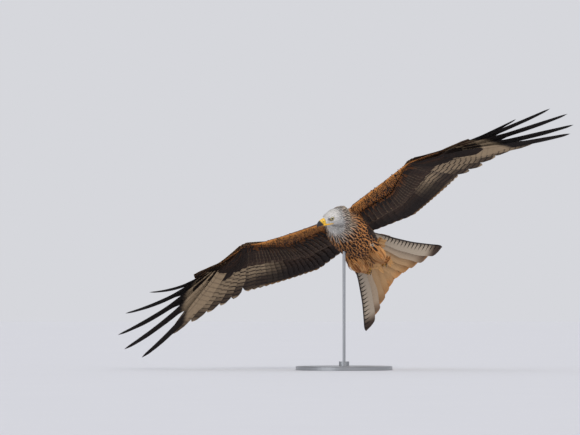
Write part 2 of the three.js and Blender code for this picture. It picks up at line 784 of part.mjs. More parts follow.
function tailSolid() {
  const feathers = tailFeathers();
  const place = new THREE.Matrix4().makeRotationX(rad(TAIL_ROLL)).setPosition(...TAIL_ROOT);
  return union([
    straightLoft(TAIL_STUMP, TAIL_STUMP_STEPS, TAIL_STUMP_SIDES, 0, place),
    ...feathers.map(vaneSolid),
    ...covertRow(feathers, TAIL_COVERTS, TAIL_COVERT_LIFT.above, TAIL_COVERT_REACH),
    ...covertRow(feathers, TAIL_COVERTS, TAIL_COVERT_LIFT.below, TAIL_COVERT_REACH),
  ]);
}

function wingSolid(wing) {
  const feathers = wingFeathers(wing);
  return union([
    armSolid(wing),
    ...feathers.map(vaneSolid),
    ...covertRow(feathers, WING_COVERTS, WING_COVERT_LIFT.above, WING_COVERT_REACH),
    ...covertRow(feathers, WING_COVERTS, WING_COVERT_LIFT.below, WING_COVERT_REACH),
  ]);
}

// Colours and finish of each piece.
const finish = (color, roughness = 0.85, metalness = 0) =>
  new THREE.MeshStandardMaterial({ color, roughness, metalness });
const FINISHES = {
  rufous: finish(0x8f4a22),
  breast: finish(0x7a4526),
  paleHead: finish(0xb9b4b2),
  horn: finish(0x2a2a2e, 0.35),
  cere: finish(0xd9a81e, 0.5),
  iris: finish(0xcfc27a, 0.1),
  wing: finish(0x4a3528),
  tail: finish(0xa9683f),
  foot: finish(0xd2a21c, 0.55),
  steel: finish(0x8a8d90, 0.35, 1),
};

const bird = new THREE.Group();
birdMatrix.decompose(bird.position, bird.quaternion, bird.scale);
const model = new THREE.Group();
model.add(bird);

function addPiece(group, name, solid, material) {
  const mesh = new THREE.Mesh(geometryOf(solid), material);
  mesh.name = name;
  group.add(mesh);
}

const grownFlesh = flesh(GAP);
const pieces = { ...trunkPieces(), ...headPieces() };
addPiece(bird, "torso", pieces.torso, FINISHES.breast);
addPiece(bird, "neck", pieces.neck, FINISHES.breast);
addPiece(bird, "head", pieces.head, FINISHES.paleHead);
addPiece(bird, "cere", pieces.cere, FINISHES.cere);
addPiece(bird, "bill_upper", pieces.bill_upper, FINISHES.horn);
addPiece(bird, "bill_lower", pieces.bill_lower, FINISHES.horn);

const grownLegs = [];
for (const [name, side] of [["left", 1], ["right", -1]]) {
  addPiece(bird, `eye_${name}`, eyeSolid(side), FINISHES.iris);
  addPiece(bird, `wing_${name}`, largest(wingSolid(WING[name]).subtract(grownFlesh)), FINISHES.wing);
  addPiece(bird, `leg_${name}`, largest(legSolid(side, 0).subtract(grownFlesh)), FINISHES.rufous);
  const grownLeg = legSolid(side, GAP);
  grownLegs.push(grownLeg, footSolid(side, GAP));
  const foot = footSolid(side, 0).subtract(grownLeg).subtract(grownFlesh);
  addPiece(bird, `foot_${name}`, largest(foot), FINISHES.foot);
}
addPiece(bird, "tail", largest(tailSolid().subtract(union([grownFlesh, ...grownLegs]))), FINISHES.tail);

// Round base with a softened rim, a collar, and the rod up to the breast.
function baseSolid() {
  const outline = [
    [0, 0],
    [BASE_RADIUS, 0],
    [BASE_RADIUS, BASE_HEIGHT - BASE_EDGE],
    [BASE_RADIUS - BASE_EDGE, BASE_HEIGHT],
    [0, BASE_HEIGHT],
  ];
  const base = new THREE.LatheGeometry(outline.map(([r, z]) => new THREE.Vector2(r, z)), 64);
  base.rotateX(Math.PI / 2);
  return solidOf(base);
}

function uprightCylinder(radius, bottom, top, sides) {
  const rod = new THREE.CylinderGeometry(radius, radius, top - bottom, sides);
  rod.rotateX(Math.PI / 2);
  rod.translate(0, 0, (top + bottom) / 2);
  return solidOf(rod);
}

const collarBottom = BASE_HEIGHT + GAP;
const collarTop = collarBottom + COLLAR_HEIGHT;
const grownBody = transformed(union([grownFlesh, ...grownLegs]), birdMatrix);
const rod = uprightCylinder(ROD_RADIUS, collarTop + GAP, ROD_REACH, 24);
const rodParts = rod.subtract(grownBody).decompose();
const lowest = (a, b) => (a.boundingBox().min[2] < b.boundingBox().min[2] ? a : b);
addPiece(model, "stand_base", baseSolid(), FINISHES.steel);
addPiece(model, "stand_collar", uprightCylinder(COLLAR_RADIUS, collarBottom, collarTop, 32), FINISHES.steel);
addPiece(model, "stand_rod", rodParts.reduce(lowest), FINISHES.steel);

export default model;
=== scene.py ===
"""Red kite in flight on a display stand: skin, coat, flight feathers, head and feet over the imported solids.

Sizes are in millimetres in the bird's own frame (ahead +X, left +Y, up +Z), as in the solids,
and every mesh is placed from there into the part's frame in metres.
"""

import logging
import math
from collections.abc import Callable, Sequence
from dataclasses import dataclass, field, fields
from enum import Enum

import bmesh
import bpy
import numpy as np
from mathutils import Matrix, Vector
from mathutils.kdtree import KDTree


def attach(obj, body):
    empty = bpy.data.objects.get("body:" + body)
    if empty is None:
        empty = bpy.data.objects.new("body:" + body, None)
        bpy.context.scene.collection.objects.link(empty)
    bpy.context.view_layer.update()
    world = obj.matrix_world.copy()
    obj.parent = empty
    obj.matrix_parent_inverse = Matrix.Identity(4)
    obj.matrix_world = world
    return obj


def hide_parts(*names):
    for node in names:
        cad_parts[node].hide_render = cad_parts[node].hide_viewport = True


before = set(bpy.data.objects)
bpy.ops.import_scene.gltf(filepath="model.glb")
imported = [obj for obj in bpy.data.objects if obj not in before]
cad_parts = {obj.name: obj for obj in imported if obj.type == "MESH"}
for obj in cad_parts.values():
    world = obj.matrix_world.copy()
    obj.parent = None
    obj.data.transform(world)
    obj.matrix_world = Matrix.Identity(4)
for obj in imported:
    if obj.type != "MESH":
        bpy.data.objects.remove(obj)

LOG = logging.getLogger("kite")
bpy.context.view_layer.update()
SEED = 20
MM = 0.001
Rows = Sequence[tuple[float, ...]]

# Places and turns shared with the solids, in millimetres and degrees.
BIRD_PLACE = (6.0, 5.0, 443.0)
BIRD_TURN = (-114.4, -21.5, 28.0)
HEAD_PLACE = (97.0, -3.0, -5.0)
HEAD_TURN = (-53.0, 10.0, -44.0)
EYE = (15.5, 17.2, 3.4)
EYE_RADIUS = 7.0

# The eyeball's radius over its solid, and the way that the left eye looks, in the head's frame.
EYEBALL_RADIUS = EYE_RADIUS * 0.985
EYE_OUTWARD = (0.24, 1.0, 0.05)
SIDES = (1, -1)

# Camera: far away with a long lens, level, aimed at the point under the photograph's centre.
VIEW_AIM = (-0.1676, 0.005, 0.4725)
VIEW_WIDTH = 1.798
VIEW_DISTANCE = 30.0
SENSOR = 36.0

# Columns and rows of the feathers' blanks, and how many strips of the map are kept for coverts.
HEAD_GRID, BODY_GRID, ARM_GRID = (3, 5), (4, 7), (4, 6)
REMEX_GRID, RECTRIX_GRID, COVERT_GRID = (8, 40), (10, 44), (6, 14)
WING_STRIPS, TAIL_STRIPS = 180, 120


def srgb(red: float, green: float, blue: float) -> np.ndarray:
    """Returns the linear colour of display values from 0 to 255."""
    share = np.array([red, green, blue]) / 255
    return np.where(share <= 0.04045, share / 12.92, ((share + 0.055) / 1.055) ** 2.4)


def unit(rows: np.ndarray) -> np.ndarray:
    """Returns the vectors of the last axis at length one."""
    return rows / np.maximum(np.linalg.norm(rows, axis=-1, keepdims=True), 1e-9)


def smooth(low: float, high: float, value: np.ndarray | float) -> np.ndarray | float:
    """Returns 0 below low and 1 above high, with a soft step between them."""
    share = np.clip((value - low) / (high - low), 0, 1)
    return share * share * (3 - 2 * share)


def blend(first: np.ndarray, second: np.ndarray, share: np.ndarray | float) -> np.ndarray:
    """Returns the colours or vectors between two, by a share for each row."""
    return first + (second - first) * np.asarray(share)[..., None]


def layered(ground: np.ndarray, *over: tuple[np.ndarray, np.ndarray | float]) -> np.ndarray:
    """Returns colours with others laid over them in turn, each given with its share."""
    for tone, share in over:
        ground = blend(ground, tone, share)
    return ground


def clamp(value: np.ndarray | float) -> np.ndarray | float:
    """Returns values kept from 0 to 1."""
    return np.clip(value, 0, 1)


def ramp(ends: tuple[float, float], share: float) -> float:
    """Returns the number at a share of the way between two."""
    return ends[0] + (ends[1] - ends[0]) * share


def reach_of(points: np.ndarray, centre: Sequence[float], radii: Sequence[float]) -> np.ndarray:
    """Returns how far points are from a centre, 1 being on the ellipsoid of the radii."""
    return np.linalg.norm((points - np.array(centre)) / np.array(radii), axis=1)


def side_name(side: int) -> str:
    """Returns the name of a side of the bird, which is 1 on its left and -1 on its right."""
    return "left" if side > 0 else "right"


def mirrored(place: Sequence[float], side: int) -> np.ndarray:
    """Returns a place or direction given for the left side, on either side."""
    return np.array([place[0], side * place[1], place[2]])


class Frame:
    """A turned and moved frame, such as the bird's in the part's or the head's in the bird's."""

    def __init__(self, place: Sequence[float], turn: Sequence[float]) -> None:
        """Args: place is the origin; turn is the heading, pitch and bank in degrees."""
        heading, pitch, bank = (math.radians(angle) for angle in turn)
        turned = (
            Matrix.Rotation(heading, 3, "Z") @ Matrix.Rotation(pitch, 3, "Y") @ Matrix.Rotation(bank, 3, "X")
        )
        self.turned = np.array(turned)
        self.place = np.array(place, float)

    def out(self, points: np.ndarray) -> np.ndarray:
        """Returns points of this frame in the frame round it."""
        return np.asarray(points, float) @ self.turned.T + self.place

    def into(self, points: np.ndarray) -> np.ndarray:
        """Returns points of the frame round it in this frame."""
        return (np.asarray(points, float) - self.place) @ self.turned


BIRD = Frame(BIRD_PLACE, BIRD_TURN)
HEAD = Frame(HEAD_PLACE, HEAD_TURN)


class Tone:
    """Linear colours of the plumage and bare parts."""

    BLACK = srgb(28, 21, 20)
    SOOT = srgb(54, 40, 34)
    UMBER = srgb(80, 60, 49)
    SLATE = srgb(100, 87, 78)
    RUFOUS = srgb(176, 108, 54)
    CHESTNUT = srgb(132, 76, 40)
    ORANGE = srgb(212, 142, 76)
    TAN = srgb(208, 160, 106)
    BUFF = srgb(212, 184, 150)
    CREAM = srgb(226, 212, 192)
    ASH = srgb(206, 202, 198)
    PALE = srgb(231, 228, 224)
    GREY = srgb(128, 124, 124)
    TAIL_GREY = srgb(196, 180, 160)


class Wire:
    """A number's socket in an expression, whose operators add Math nodes."""

    def __init__(self, tree: bpy.types.NodeTree, socket: bpy.types.NodeSocket) -> None:
        """Args: tree holds the nodes; socket gives the number."""
        self.tree = tree
        self.socket = socket

    def math(self, operation: str, *values: "Wire | float") -> "Wire":
        """Adds a Math node.

        Args:
            operation: the node's operation.
            values: its inputs in order.

        Returns:
            The node's output.
        """
        node = self.tree.nodes.new("ShaderNodeMath")
        node.operation = operation
        for socket, value in zip(node.inputs, values):
            if isinstance(value, Wire):
                self.tree.links.new(value.socket, socket)
            else:
                socket.default_value = value
        return Wire(self.tree, node.outputs[0])

    def __add__(self, other: "Wire | float") -> "Wire":
        """Returns the sum."""
        return self.math("ADD", self, other)

    __radd__ = __add__

    def __sub__(self, other: "Wire | float") -> "Wire":
        """Returns the difference."""
        return self.math("SUBTRACT", self, other)

    def __rsub__(self, other: float) -> "Wire":
        """Returns the difference from a number."""
        return self.math("SUBTRACT", other, self)

    def __mul__(self, other: "Wire | float") -> "Wire":
        """Returns the product."""
        return self.math("MULTIPLY", self, other)

    __rmul__ = __mul__

    def __truediv__(self, other: "Wire | float") -> "Wire":
        """Returns the quotient."""
        return self.math("DIVIDE", self, other)

    def __abs__(self) -> "Wire":
        """Returns the size without its sign."""
        return self.math("ABSOLUTE", self)

    def sine(self) -> "Wire":
        """Returns the sine of an angle in radians."""
        return self.math("SINE", self)

    def root(self) -> "Wire":
        """Returns the square root."""
        return self.math("SQRT", self)

    def most(self, other: "Wire | float") -> "Wire":
        """Returns the larger of two values."""
        return self.math("MAXIMUM", self, other)

    def least(self, other: "Wire | float") -> "Wire":
        """Returns the smaller of two values."""
        return self.math("MINIMUM", self, other)

    def step(self, low: float, high: float) -> "Wire":
        """Returns 0 at low and 1 at high with a soft step; low may be the larger."""
        node = self.tree.nodes.new("ShaderNodeMapRange")
        node.interpolation_type = "SMOOTHSTEP"
        self.tree.links.new(self.socket, node.inputs["Value"])
        span = (low, high, 0.0, 1.0) if low < high else (high, low, 1.0, 0.0)
        for name, value in zip(("From Min", "From Max", "To Min", "To Max"), span):
            node.inputs[name].default_value = value
        return Wire(self.tree, node.outputs["Result"])


class Shader:
    """A material's node tree with its Principled shader."""

    def __init__(self, name: str, roughness: float, specular: float = 0.5, metallic: float = 0.0) -> None:
        """Args: name of the material, and the shader's plain roughness, specular level and metal."""
        self.material = bpy.data.materials.new(name)
        self.material.use_nodes = True
        self.tree = self.material.node_tree
        self.tree.nodes.clear()
        self.principled = self.tree.nodes.new("ShaderNodeBsdfPrincipled")
        output = self.tree.nodes.new("ShaderNodeOutputMaterial")
        self.tree.links.new(self.principled.outputs[0], output.inputs["Surface"])
        self.principled.inputs["Roughness"].default_value = roughness
        self.principled.inputs["Specular IOR Level"].default_value = specular
        self.principled.inputs["Metallic"].default_value = metallic

    def node(self, kind: str, settings: dict | None = None, sockets: dict | None = None) -> bpy.types.Node:
        """Adds a node.

        Args:
            kind: its type without the ShaderNode prefix.
            settings: its own settings, set first.
            sockets: values or links by input name or index.

        Returns:
            The node.
        """
        made = self.tree.nodes.new("ShaderNode" + kind)
        for name, value in (settings or {}).items():
            setattr(made, name, value)
        for name, value in (sockets or {}).items():
            self.put(made.inputs[name], value)
        return made

    def put(self, socket: bpy.types.NodeSocket, value: object) -> None:
        """Links a wire or a socket to an input, or sets its value."""
        if isinstance(value, Wire):
            self.tree.links.new(value.socket, socket)
        elif isinstance(value, bpy.types.NodeSocket):
            self.tree.links.new(value, socket)
        elif isinstance(value, np.ndarray):
            socket.default_value = (*value.tolist(), 1) if socket.type == "RGBA" else value.tolist()
        else:
            socket.default_value = value

    def wire(self, socket: bpy.types.NodeSocket) -> Wire:
        """Returns a socket as a number for expressions."""
        return Wire(self.tree, socket)

    def shade(self, name: str) -> bpy.types.NodeSocket:
        """Returns an attribute of the mesh as a colour."""
        return self.node("Attribute", {"attribute_name": name}).outputs["Color"]

    def value(self, name: str) -> Wire:
        """Returns an attribute of the mesh as a number."""
        return self.wire(self.node("Attribute", {"attribute_name": name}).outputs["Fac"])

    def split(self, vector: bpy.types.NodeSocket) -> tuple[Wire, Wire, Wire]:
        """Returns the three numbers of a vector."""
        parts = self.node("SeparateXYZ", {}, {0: vector}).outputs
        return self.wire(parts[0]), self.wire(parts[1]), self.wire(parts[2])

    def place(self) -> bpy.types.NodeSocket:
        """Returns Object coordinates."""
        return self.node("TexCoord").outputs["Object"]

    def noise(self, scale: float, detail: float = 3.0, at: bpy.types.NodeSocket | None = None) -> Wire:
        """Returns noise from 0 to 1, scale in features per metre."""
        sockets = {"Vector": at or self.place(), "Scale": scale, "Detail": detail}
        return self.wire(self.node("TexNoise", {}, sockets).outputs[0])

    def mix(self, first: object, second: object, share: object) -> bpy.types.NodeSocket:
        """Returns a colour between two."""
        made = self.node("Mix", {"data_type": "RGBA"})
        self.put(made.inputs[0], share)
        self.put(made.inputs[6], first)
        self.put(made.inputs[7], second)
        return made.outputs[2]

    def colour(self, value: object) -> None:
        """Sets the base colour."""
        self.put(self.principled.inputs["Base Color"], value)

    def rough(self, value: object) -> None:
        """Sets a roughness that varies."""
        self.put(self.principled.inputs["Roughness"], value)

    def bump(self, height: Wire, distance: float, strength: float = 1.0) -> None:
        """Roughens the surface by a height from 0 to 1 over a distance in metres."""
        sockets = {"Height": height, "Distance": distance, "Strength": strength}
        made = self.node("Bump", {}, sockets)
        self.put(self.principled.inputs["Normal"], made.outputs[0])


@dataclass(frozen=True)
class PlumageFinish:
    """Feathers with shaft, streak, bars, rim and barbs, read from the vane's own map and attributes."""

    name: str
    roughness: float = 0.74
    specular: float = 0.14
    dark: tuple[float, float, float] = (0.016, 0.011, 0.010)
    bar_pitch: float = 0.0175
    barb_pitch: float = 0.0011
    barb_depth: float = 0.00016

    def make(self) -> bpy.types.Material:
        """Returns the material."""
        shader = Shader(self.name, self.roughness, self.specular)
        lie = shader.node("UVMap", {"uv_map": "Lie"}).outputs[0]
        across, along, _ = shader.split(lie)
        pattern = shader.node("Attribute", {"attribute_name": "Pattern"}).outputs["Vector"]
        mark, bars, rim = shader.split(pattern)
        long = shader.value("Long")
        off = abs(across - 0.5) * 2.0
        reach = along * long
        wobble = shader.noise(160.0, 2.0)

        core = (off + (wobble - 0.5) * 0.4) / (mark * 0.62 + 0.12)
        streak = core.step(1.12, 0.72) * along.step(0.97, 0.82) * (mark * 1.5).least(1.0)
        vein = off.step(0.09, 0.03) * along.step(1.0, 0.7)
        wave = (reach * (2 * math.pi / self.bar_pitch) + off * 1.6 + wobble * 2.4).sine()
        barred = wave.step(0.45, 0.9) * bars
        sides = (off + (wobble - 0.5) * 0.34).step(0.74, 0.98) * long.step(0.16, 0.04)
        edge = sides.most((along + (wobble - 0.5) * 0.05).step(0.93, 0.99)) * rim
        slant = off * long * (1.3 * math.pi / self.barb_pitch)
        barb = (reach * (2 * math.pi / self.barb_pitch) - slant).sine()
        soil = (1 - shader.noise(420.0)).step(0.45, 0.7)

        dark = np.array(self.dark)
        ground = shader.mix(shader.shade("Ground"), shader.shade("Edge"), edge)
        for share in (streak, barred, vein * 0.35, barb.step(0.1, 1.0) * 0.13 + soil * 0.1):
            ground = shader.mix(ground, dark, share)
        shader.colour(ground)
        shader.rough(self.roughness + (wobble - 0.5) * 0.2)
        shader.bump(barb * 0.5 + vein * 1.2, self.barb_depth, 0.8)
        return shader.material


@dataclass(frozen=True)
class HideFinish:
    """Down and skin under the coat, in the coat's own colours."""

    name: str = "under_down"
    roughness: float = 0.85

    def make(self) -> bpy.types.Material:
        """Returns the material."""
        shader = Shader(self.name, self.roughness, 0.15)
        tuft = shader.noise(900.0, 4.0)
        shader.colour(shader.mix(shader.shade("Ground"), Tone.SOOT, tuft.step(0.4, 0.75) * 0.55))
        shader.bump(tuft, 0.0008, 0.9)
        return shader.material


@dataclass(frozen=True)
class WaxFinish:
    """Bare skin, horn or claw: two tones mixed by noise and by a stored share, with pores or growth lines;
    the stored share darkens the bill's tip and paints shade at the nostrils.
    """

    name: str
    tone: tuple[float, float, float]
    deep: tuple[float, float, float]
    roughness: float
    grain: float = 900.0
    depth: float = 0.0002
    coat: float = 0.0
    mottle: float = 0.35

    def make(self) -> bpy.types.Material:
        """Returns the material."""
        shader = Shader(self.name, self.roughness, 0.5)
        patch = shader.noise(self.grain * 0.25, 3.0)
        fine = shader.noise(self.grain, 3.0)
        # A stored share adds the deep tone: the bill's dark tip and a painted shade at the nostrils.
        share = (patch.step(0.45, 0.75) * self.mottle).most(shader.value("DarkTipAndNostrilShade"))
        shader.colour(shader.mix(np.array(self.tone), np.array(self.deep), share))
        shader.rough(self.roughness + (fine - 0.5) * 0.25)
        shader.principled.inputs["Coat Weight"].default_value = self.coat
        shader.bump(fine, self.depth, 0.7)
        return shader.material


@dataclass(frozen=True)
class EyeFinish:
    """Wet eye: black pupil, pale yellow iris with fine rays, dark rim."""

    name: str = "eye"
    pupil: float = 0.42
    iris: float = 0.93
    rays: float = 46.0

    def make(self) -> bpy.types.Material:
        """Returns the material."""
        shader = Shader(self.name, 0.08, 0.6)
        off = shader.value("Iris")
        rays = (shader.value("Ray") * self.rays + shader.noise(500.0) * 5.0).sine().step(-0.6, 1.0)
        black = off.step(self.pupil + 0.03, self.pupil).most(off.step(self.iris - 0.03, self.iris + 0.04))
        tone = shader.mix(srgb(216, 204, 140), srgb(160, 136, 66), rays * 0.55)
        tone = shader.mix(tone, srgb(120, 92, 40), off.step(0.62, 0.9) * 0.6)
        tone = shader.mix(tone, Tone.BLACK * 0.4, black)
        shader.colour(tone)
        shader.principled.inputs["Coat Weight"].default_value = 1.0
        return shader.material


@dataclass(frozen=True)
class SteelFinish:
    """Brushed steel of the stand, with rings or lines of the brush and faint marks."""

    name: str = "stand_brushed_steel"
    roughness: float = 0.36

    def make(self) -> bpy.types.Material:
        """Returns the material."""
        shader = Shader(self.name, self.roughness, 0.5, 1.0)
        x, y, z = shader.split(shader.place())
        ring = shader.node("CombineXYZ", {}, {0: (x * x + y * y).root(), 2: z})
        lines = shader.noise(2600.0, 2.0, ring.outputs[0])
        marks = shader.noise(30.0, 4.0)
        shader.colour(shader.mix(srgb(176, 178, 181), srgb(122, 124, 128), lines * 0.5))
        shader.rough(self.roughness + (lines - 0.5) * 0.22 + (marks - 0.5) * 0.16)
        shader.bump(lines, 0.00004, 0.5)
        return shader.material


@dataclass
class Vane:
    """One flight feather: where it grows, where it points, and its form."""

    kind: str
    side: int
    upper: np.ndarray
    tilt: float
    root: np.ndarray
    aim: np.ndarray
    length: float
    width: float
    bend: float = 0.0
    bow: float = 0.0

    def axes(self) -> tuple[np.ndarray, np.ndarray, np.ndarray]:
        """Returns the unit vectors along the shaft, out to its leading side and up from its flat."""
        along = unit(self.aim)
        out = unit(np.cross(along, self.upper) * self.side)
        up = unit(np.cross(along, out))
        up = up if up @ self.upper > 0 else -up
        lean = math.radians(self.tilt)
        leading = out * math.cos(lean) + up * math.sin(lean)
        return along, leading, up * math.cos(lean) - out * math.sin(lean)


def feather_aim(side: int, sweep: float, rise: float) -> np.ndarray:
    """Returns the direction of a feather swept out from straight back, and raised."""
    turn, lift = math.radians(sweep), math.radians(rise)
    reach = math.cos(lift)
    return np.array([-math.cos(turn) * reach, side * math.sin(turn) * reach, math.sin(lift)])


def between(vanes: Sequence[Vane], place: float) -> Vane:
    """Returns a feather between two neighbours of a row.

    Args:
        vanes: the row.
        place: a place along it, from 0 to its count less one.

    Returns:
        A feather with the neighbours' mean root, aim and length.
    """
    first = int(min(max(place, 0), len(vanes) - 1.001))
    share = place - first
    a, b = vanes[first], vanes[first + 1]
    return Vane(
        "covert",
        a.side,
        unit(blend(a.upper, b.upper, share)),
        a.tilt,
        blend(a.root, b.root, share),
        unit(blend(a.aim, b.aim, share)),
        a.length + (b.length - a.length) * share,
        a.width + (b.width - a.width) * share,
    )


@dataclass
class Wing:
    """One wing: its joints, its fleshy arm and its flight feathers, from the tip inwards."""

    name: str
    side: int
    shoulder: tuple[float, float, float]
    elbow: tuple[float, float, float]
    wrist: tuple[float, float, float]
    primary_angles: Rows
    secondary_sweep: tuple[float, float]
    secondary_rise: tuple[float, float]
    finger_bend: float
    patagium: tuple[float, ...]
    hand_sweep: float = 6.0
    hand_droop: float = 6.0
    primary_lengths: tuple[float, ...] = (230, 242, 258, 288, 340, 438, 444, 426, 374, 256)
    primary_roots: tuple[float, ...] = (14, 24, 34, 44, 54, 64, 74, 84, 92, 98)
    primary_widths: tuple[float, ...] = (46, 47, 48, 49, 50, 50, 49, 46, 41, 32)
    notched_from: int = 5
    primary_tilt: float = 7.0
    secondaries: int = 13
    secondary_lengths: tuple[float, float] = (222, 186)
    secondary_width: float = 46.0
    tertials: int = 6
    tertial_lengths: tuple[float, float] = (184, 144)
    tertial_width: float = 48.0
    inner_tilt: float = 5.5

    def __post_init__(self) -> None:
        """Works out the joints and the row of flight feathers."""
        self.joints = [np.array(p, float) for p in (self.shoulder, self.elbow, self.wrist)]
        self.vanes = self.flight_feathers()

    def hand(self) -> np.ndarray:
        """Returns the direction of the hand."""
        sweep, droop = math.radians(self.hand_sweep), math.radians(self.hand_droop)
        reach = math.cos(droop)
        return np.array([-math.sin(sweep) * reach, self.side * math.cos(sweep) * reach, -math.sin(droop)])

    def flight_feathers(self) -> list[Vane]:
        """Returns the primaries, secondaries and tertials, from the outermost in."""
        shoulder, elbow, wrist = self.joints
        ahead = np.array([1.0, 0, 0])

        def upper_of(span: np.ndarray) -> np.ndarray:
            """Returns the upward normal of a stretch of the wing."""
            normal = unit(np.cross(span, ahead))
            return normal if normal[2] > 0 else -normal

        hand_up, fore_up, humerus_up = map(upper_of, (self.hand(), wrist - elbow, elbow - shoulder))
        vanes = []
        for i in reversed(range(len(self.primary_lengths))):
            finger = i >= self.notched_from
            vane = Vane(
                "finger" if finger else "primary",
                self.side,
                hand_up,
                self.primary_tilt,
                wrist + self.hand() * self.primary_roots[i],
                feather_aim(self.side, *self.primary_angles[i]),
                self.primary_lengths[i],
                self.primary_widths[i],
                self.finger_bend if finger else 0,
            )
            vanes.append(vane)
        for i in range(self.secondaries):
            share = (i + 0.5) / self.secondaries
            upper = unit(blend(hand_up, fore_up, min(1, share * 3)))
            root = blend(wrist, elbow, share)
            aim = feather_aim(self.side, ramp(self.secondary_sweep, share), ramp(self.secondary_rise, share))
            length = ramp(self.secondary_lengths, share)
            vanes.append(self.inner(upper, root, aim, length, self.secondary_width))
        for i in range(self.tertials):
            share = (i + 0.5) / self.tertials
            upper = unit(blend(fore_up, humerus_up, min(1, share * 2)))
            root = blend(elbow, shoulder, 0.95 * share)
            aim = feather_aim(self.side, self.secondary_sweep[1] - 2 * share, self.secondary_rise[1] + share)
            vanes.append(self.inner(upper, root, aim, ramp(self.tertial_lengths, share), self.tertial_width))
        return vanes

    def inner(
        self, upper: np.ndarray, root: np.ndarray, aim: np.ndarray, length: float, width: float
    ) -> Vane:
        """Returns a flight feather of the arm."""
        return Vane("secondary", self.side, upper, self.inner_tilt, root, aim, length, width)

    def stations(self) -> list[tuple[np.ndarray, float, float, float]]:
        """Returns the arm's sections from the body out.

        Returns:
            For each: a point of the bone, what lies ahead of it and behind it, and the thickness.
        """
        shoulder, elbow, wrist = self.joints
        tip = self.vanes[0].root
        p = self.patagium
        return [
            (np.array([15.0, self.side * 12, 8]), 40, 92, 30),
            (shoulder, p[0], 90, 30),
            (blend(shoulder, elbow, 0.5), p[1], 66, 24),
            (elbow, p[2], 46, 20),
            (blend(elbow, wrist, 0.45), p[3], 44, 17),
            (blend(elbow, wrist, 0.8), p[4], 42, 15),
            (wrist, 11.5, 42, 13.5),
            (blend(wrist, tip, 0.5), 16, 34, 10),
            (tip, 14, 20, 6.5),
            (tip + np.array([-3.0, self.side * 12, -1]), 8, 6, 3),
        ]

    def place_of(self, points: np.ndarray) -> np.ndarray:
        """Returns the place of points along the row of flight feathers, by their reach from the body."""
        reach = np.array([vane.root[1] * self.side for vane in self.vanes])
        places = np.arange(len(reach), dtype=float)
        return np.interp(points[:, 1] * self.side, reach[::-1], places[::-1])

    def chord_of(self, points: np.ndarray) -> np.ndarray:
        """Returns how far back points are on the arm, from 0 at its leading edge to 1 at its rear."""
        rows = self.stations()[1:]
        reach = np.array([mid[1] * self.side for mid, *_ in rows])
        out = points[:, 1] * self.side
        lead = np.interp(out, reach, [mid[0] + lead for mid, lead, _, _ in rows])
        chord = np.interp(out, reach, [lead + rear for _, lead, rear, _ in rows])
        return (lead - points[:, 0]) / chord

    def aims(self, points: np.ndarray) -> np.ndarray:
        """Returns the lie of the feathers on the arm at points."""
        places = self.place_of(points)
        rows = np.arange(len(self.vanes))
        aims = np.array([vane.aim for vane in self.vanes])
        return unit(np.stack([np.interp(places, rows, aims[:, i]) for i in range(3)], 1))


LEFT_WING = Wing(
    "left", 1, (15, 46, 12), (-8, 178, 34), (86, 290, 50),
    ((25, 1), (34, 0), (43, 0), (52, -1), (60, -3.5), (64, -5), (65, -2), (66, 3), (67, 8), (68, 10)),
    (20, -2), (1, 2), 4, (62, 81, 98, 62, 35),
)
RIGHT_WING = Wing(
    "right", -1, (15, -46, 12), (-12, -182, 30), (76, -308, 49),
    (
        (33, -8), (41, -9), (49, -10), (57, -11), (65, -11.5),
        (71, -12.5), (77, -8), (79, -1.9), (78, 6.5), (83, 10.4),
    ),
    (26, -2), (-7, -3), 20, (52, 67, 86, 50, 27),
)


@dataclass
class Tail:
    """The forked tail: its flat base and twelve feathers, from the outer left to the outer right."""

    root: tuple[float, float, float] = (-125, 0, -4)
    roll: float = 26.0
    yaw: float = -2.5
    spread: float = 23.0
    droop: tuple[float, float] = (-2, -5)
    tilt: float = 4.0
    lengths: tuple[float, ...] = (277, 283, 292, 305, 322, 346)
    widths: tuple[float, ...] = (50, 50, 50, 50, 49, 46)
    bow: float = 11.0
    stump: Rows = (
        (-126, -5, 34, 1.5, 1.5), (-108, -5, 58, 3, 4), (-80, -4.5, 66, 6, 9),
        (-50, -4, 64, 9, 11), (-15, -3, 46, 9, 10),
    )

    def __post_init__(self) -> None:
        """Works out the tail's turned frame and its feathers."""
        self.frame = Frame(self.root, (0, 0, self.roll))
        self.vanes = self.feathers()

    def feathers(self) -> list[Vane]:
        """Returns the twelve feathers."""
        pairs = len(self.lengths)
        turned = self.frame.turned
        vanes = []
        for i in range(2 * pairs):
            side = 1 if i < pairs else -1
            rank = pairs - 1 - i if side > 0 else i - pairs
            share = (rank + 0.5) / (pairs - 0.5)
            sweep = side * self.spread * share + self.yaw
            aim = turned @ feather_aim(1, sweep, ramp(self.droop, share * share))
            root = self.frame.out([0, side * (4 + 8 * rank), -0.9 * rank])
            upper = turned @ np.array([0, 0, 1.0])
            length, width = self.lengths[rank], self.widths[rank]
            vanes.append(Vane("tail", side, upper, self.tilt, root, aim, length, width, 0, self.bow * share))
        return vanes


TAIL = Tail()
WINGS = (LEFT_WING, RIGHT_WING)


class Layer(Enum):
    """Face of a flight feather."""

    UPPER = 1
    LOWER = -1


@dataclass
class Grid:
    """Flat feather blank: a grid with u from -1 to 1 across it and v from 0 to 1 along it."""

    columns: int
    rows: int
    u: np.ndarray = field(init=False)
    v: np.ndarray = field(init=False)
    faces: np.ndarray = field(init=False)

    def __post_init__(self) -> None:
        """Makes the grid and reads its points and faces."""
        blank = bmesh.new()
        bmesh.ops.create_grid(blank, x_segments=self.columns, y_segments=self.rows, size=1.0)
        blank.verts.ensure_lookup_table()
        points = np.array([vert.co for vert in blank.verts])
        self.u, self.v = points[:, 0], (points[:, 1] + 1) / 2
        self.faces = np.array([[vert.index for vert in face.verts] for face in blank.faces])
        blank.free()


@dataclass
class Colours:
    """What each feather's shader reads: ground and edge colours, and mark, bars and rim strengths."""

    ground: np.ndarray
    edge: np.ndarray
    pattern: np.ndarray


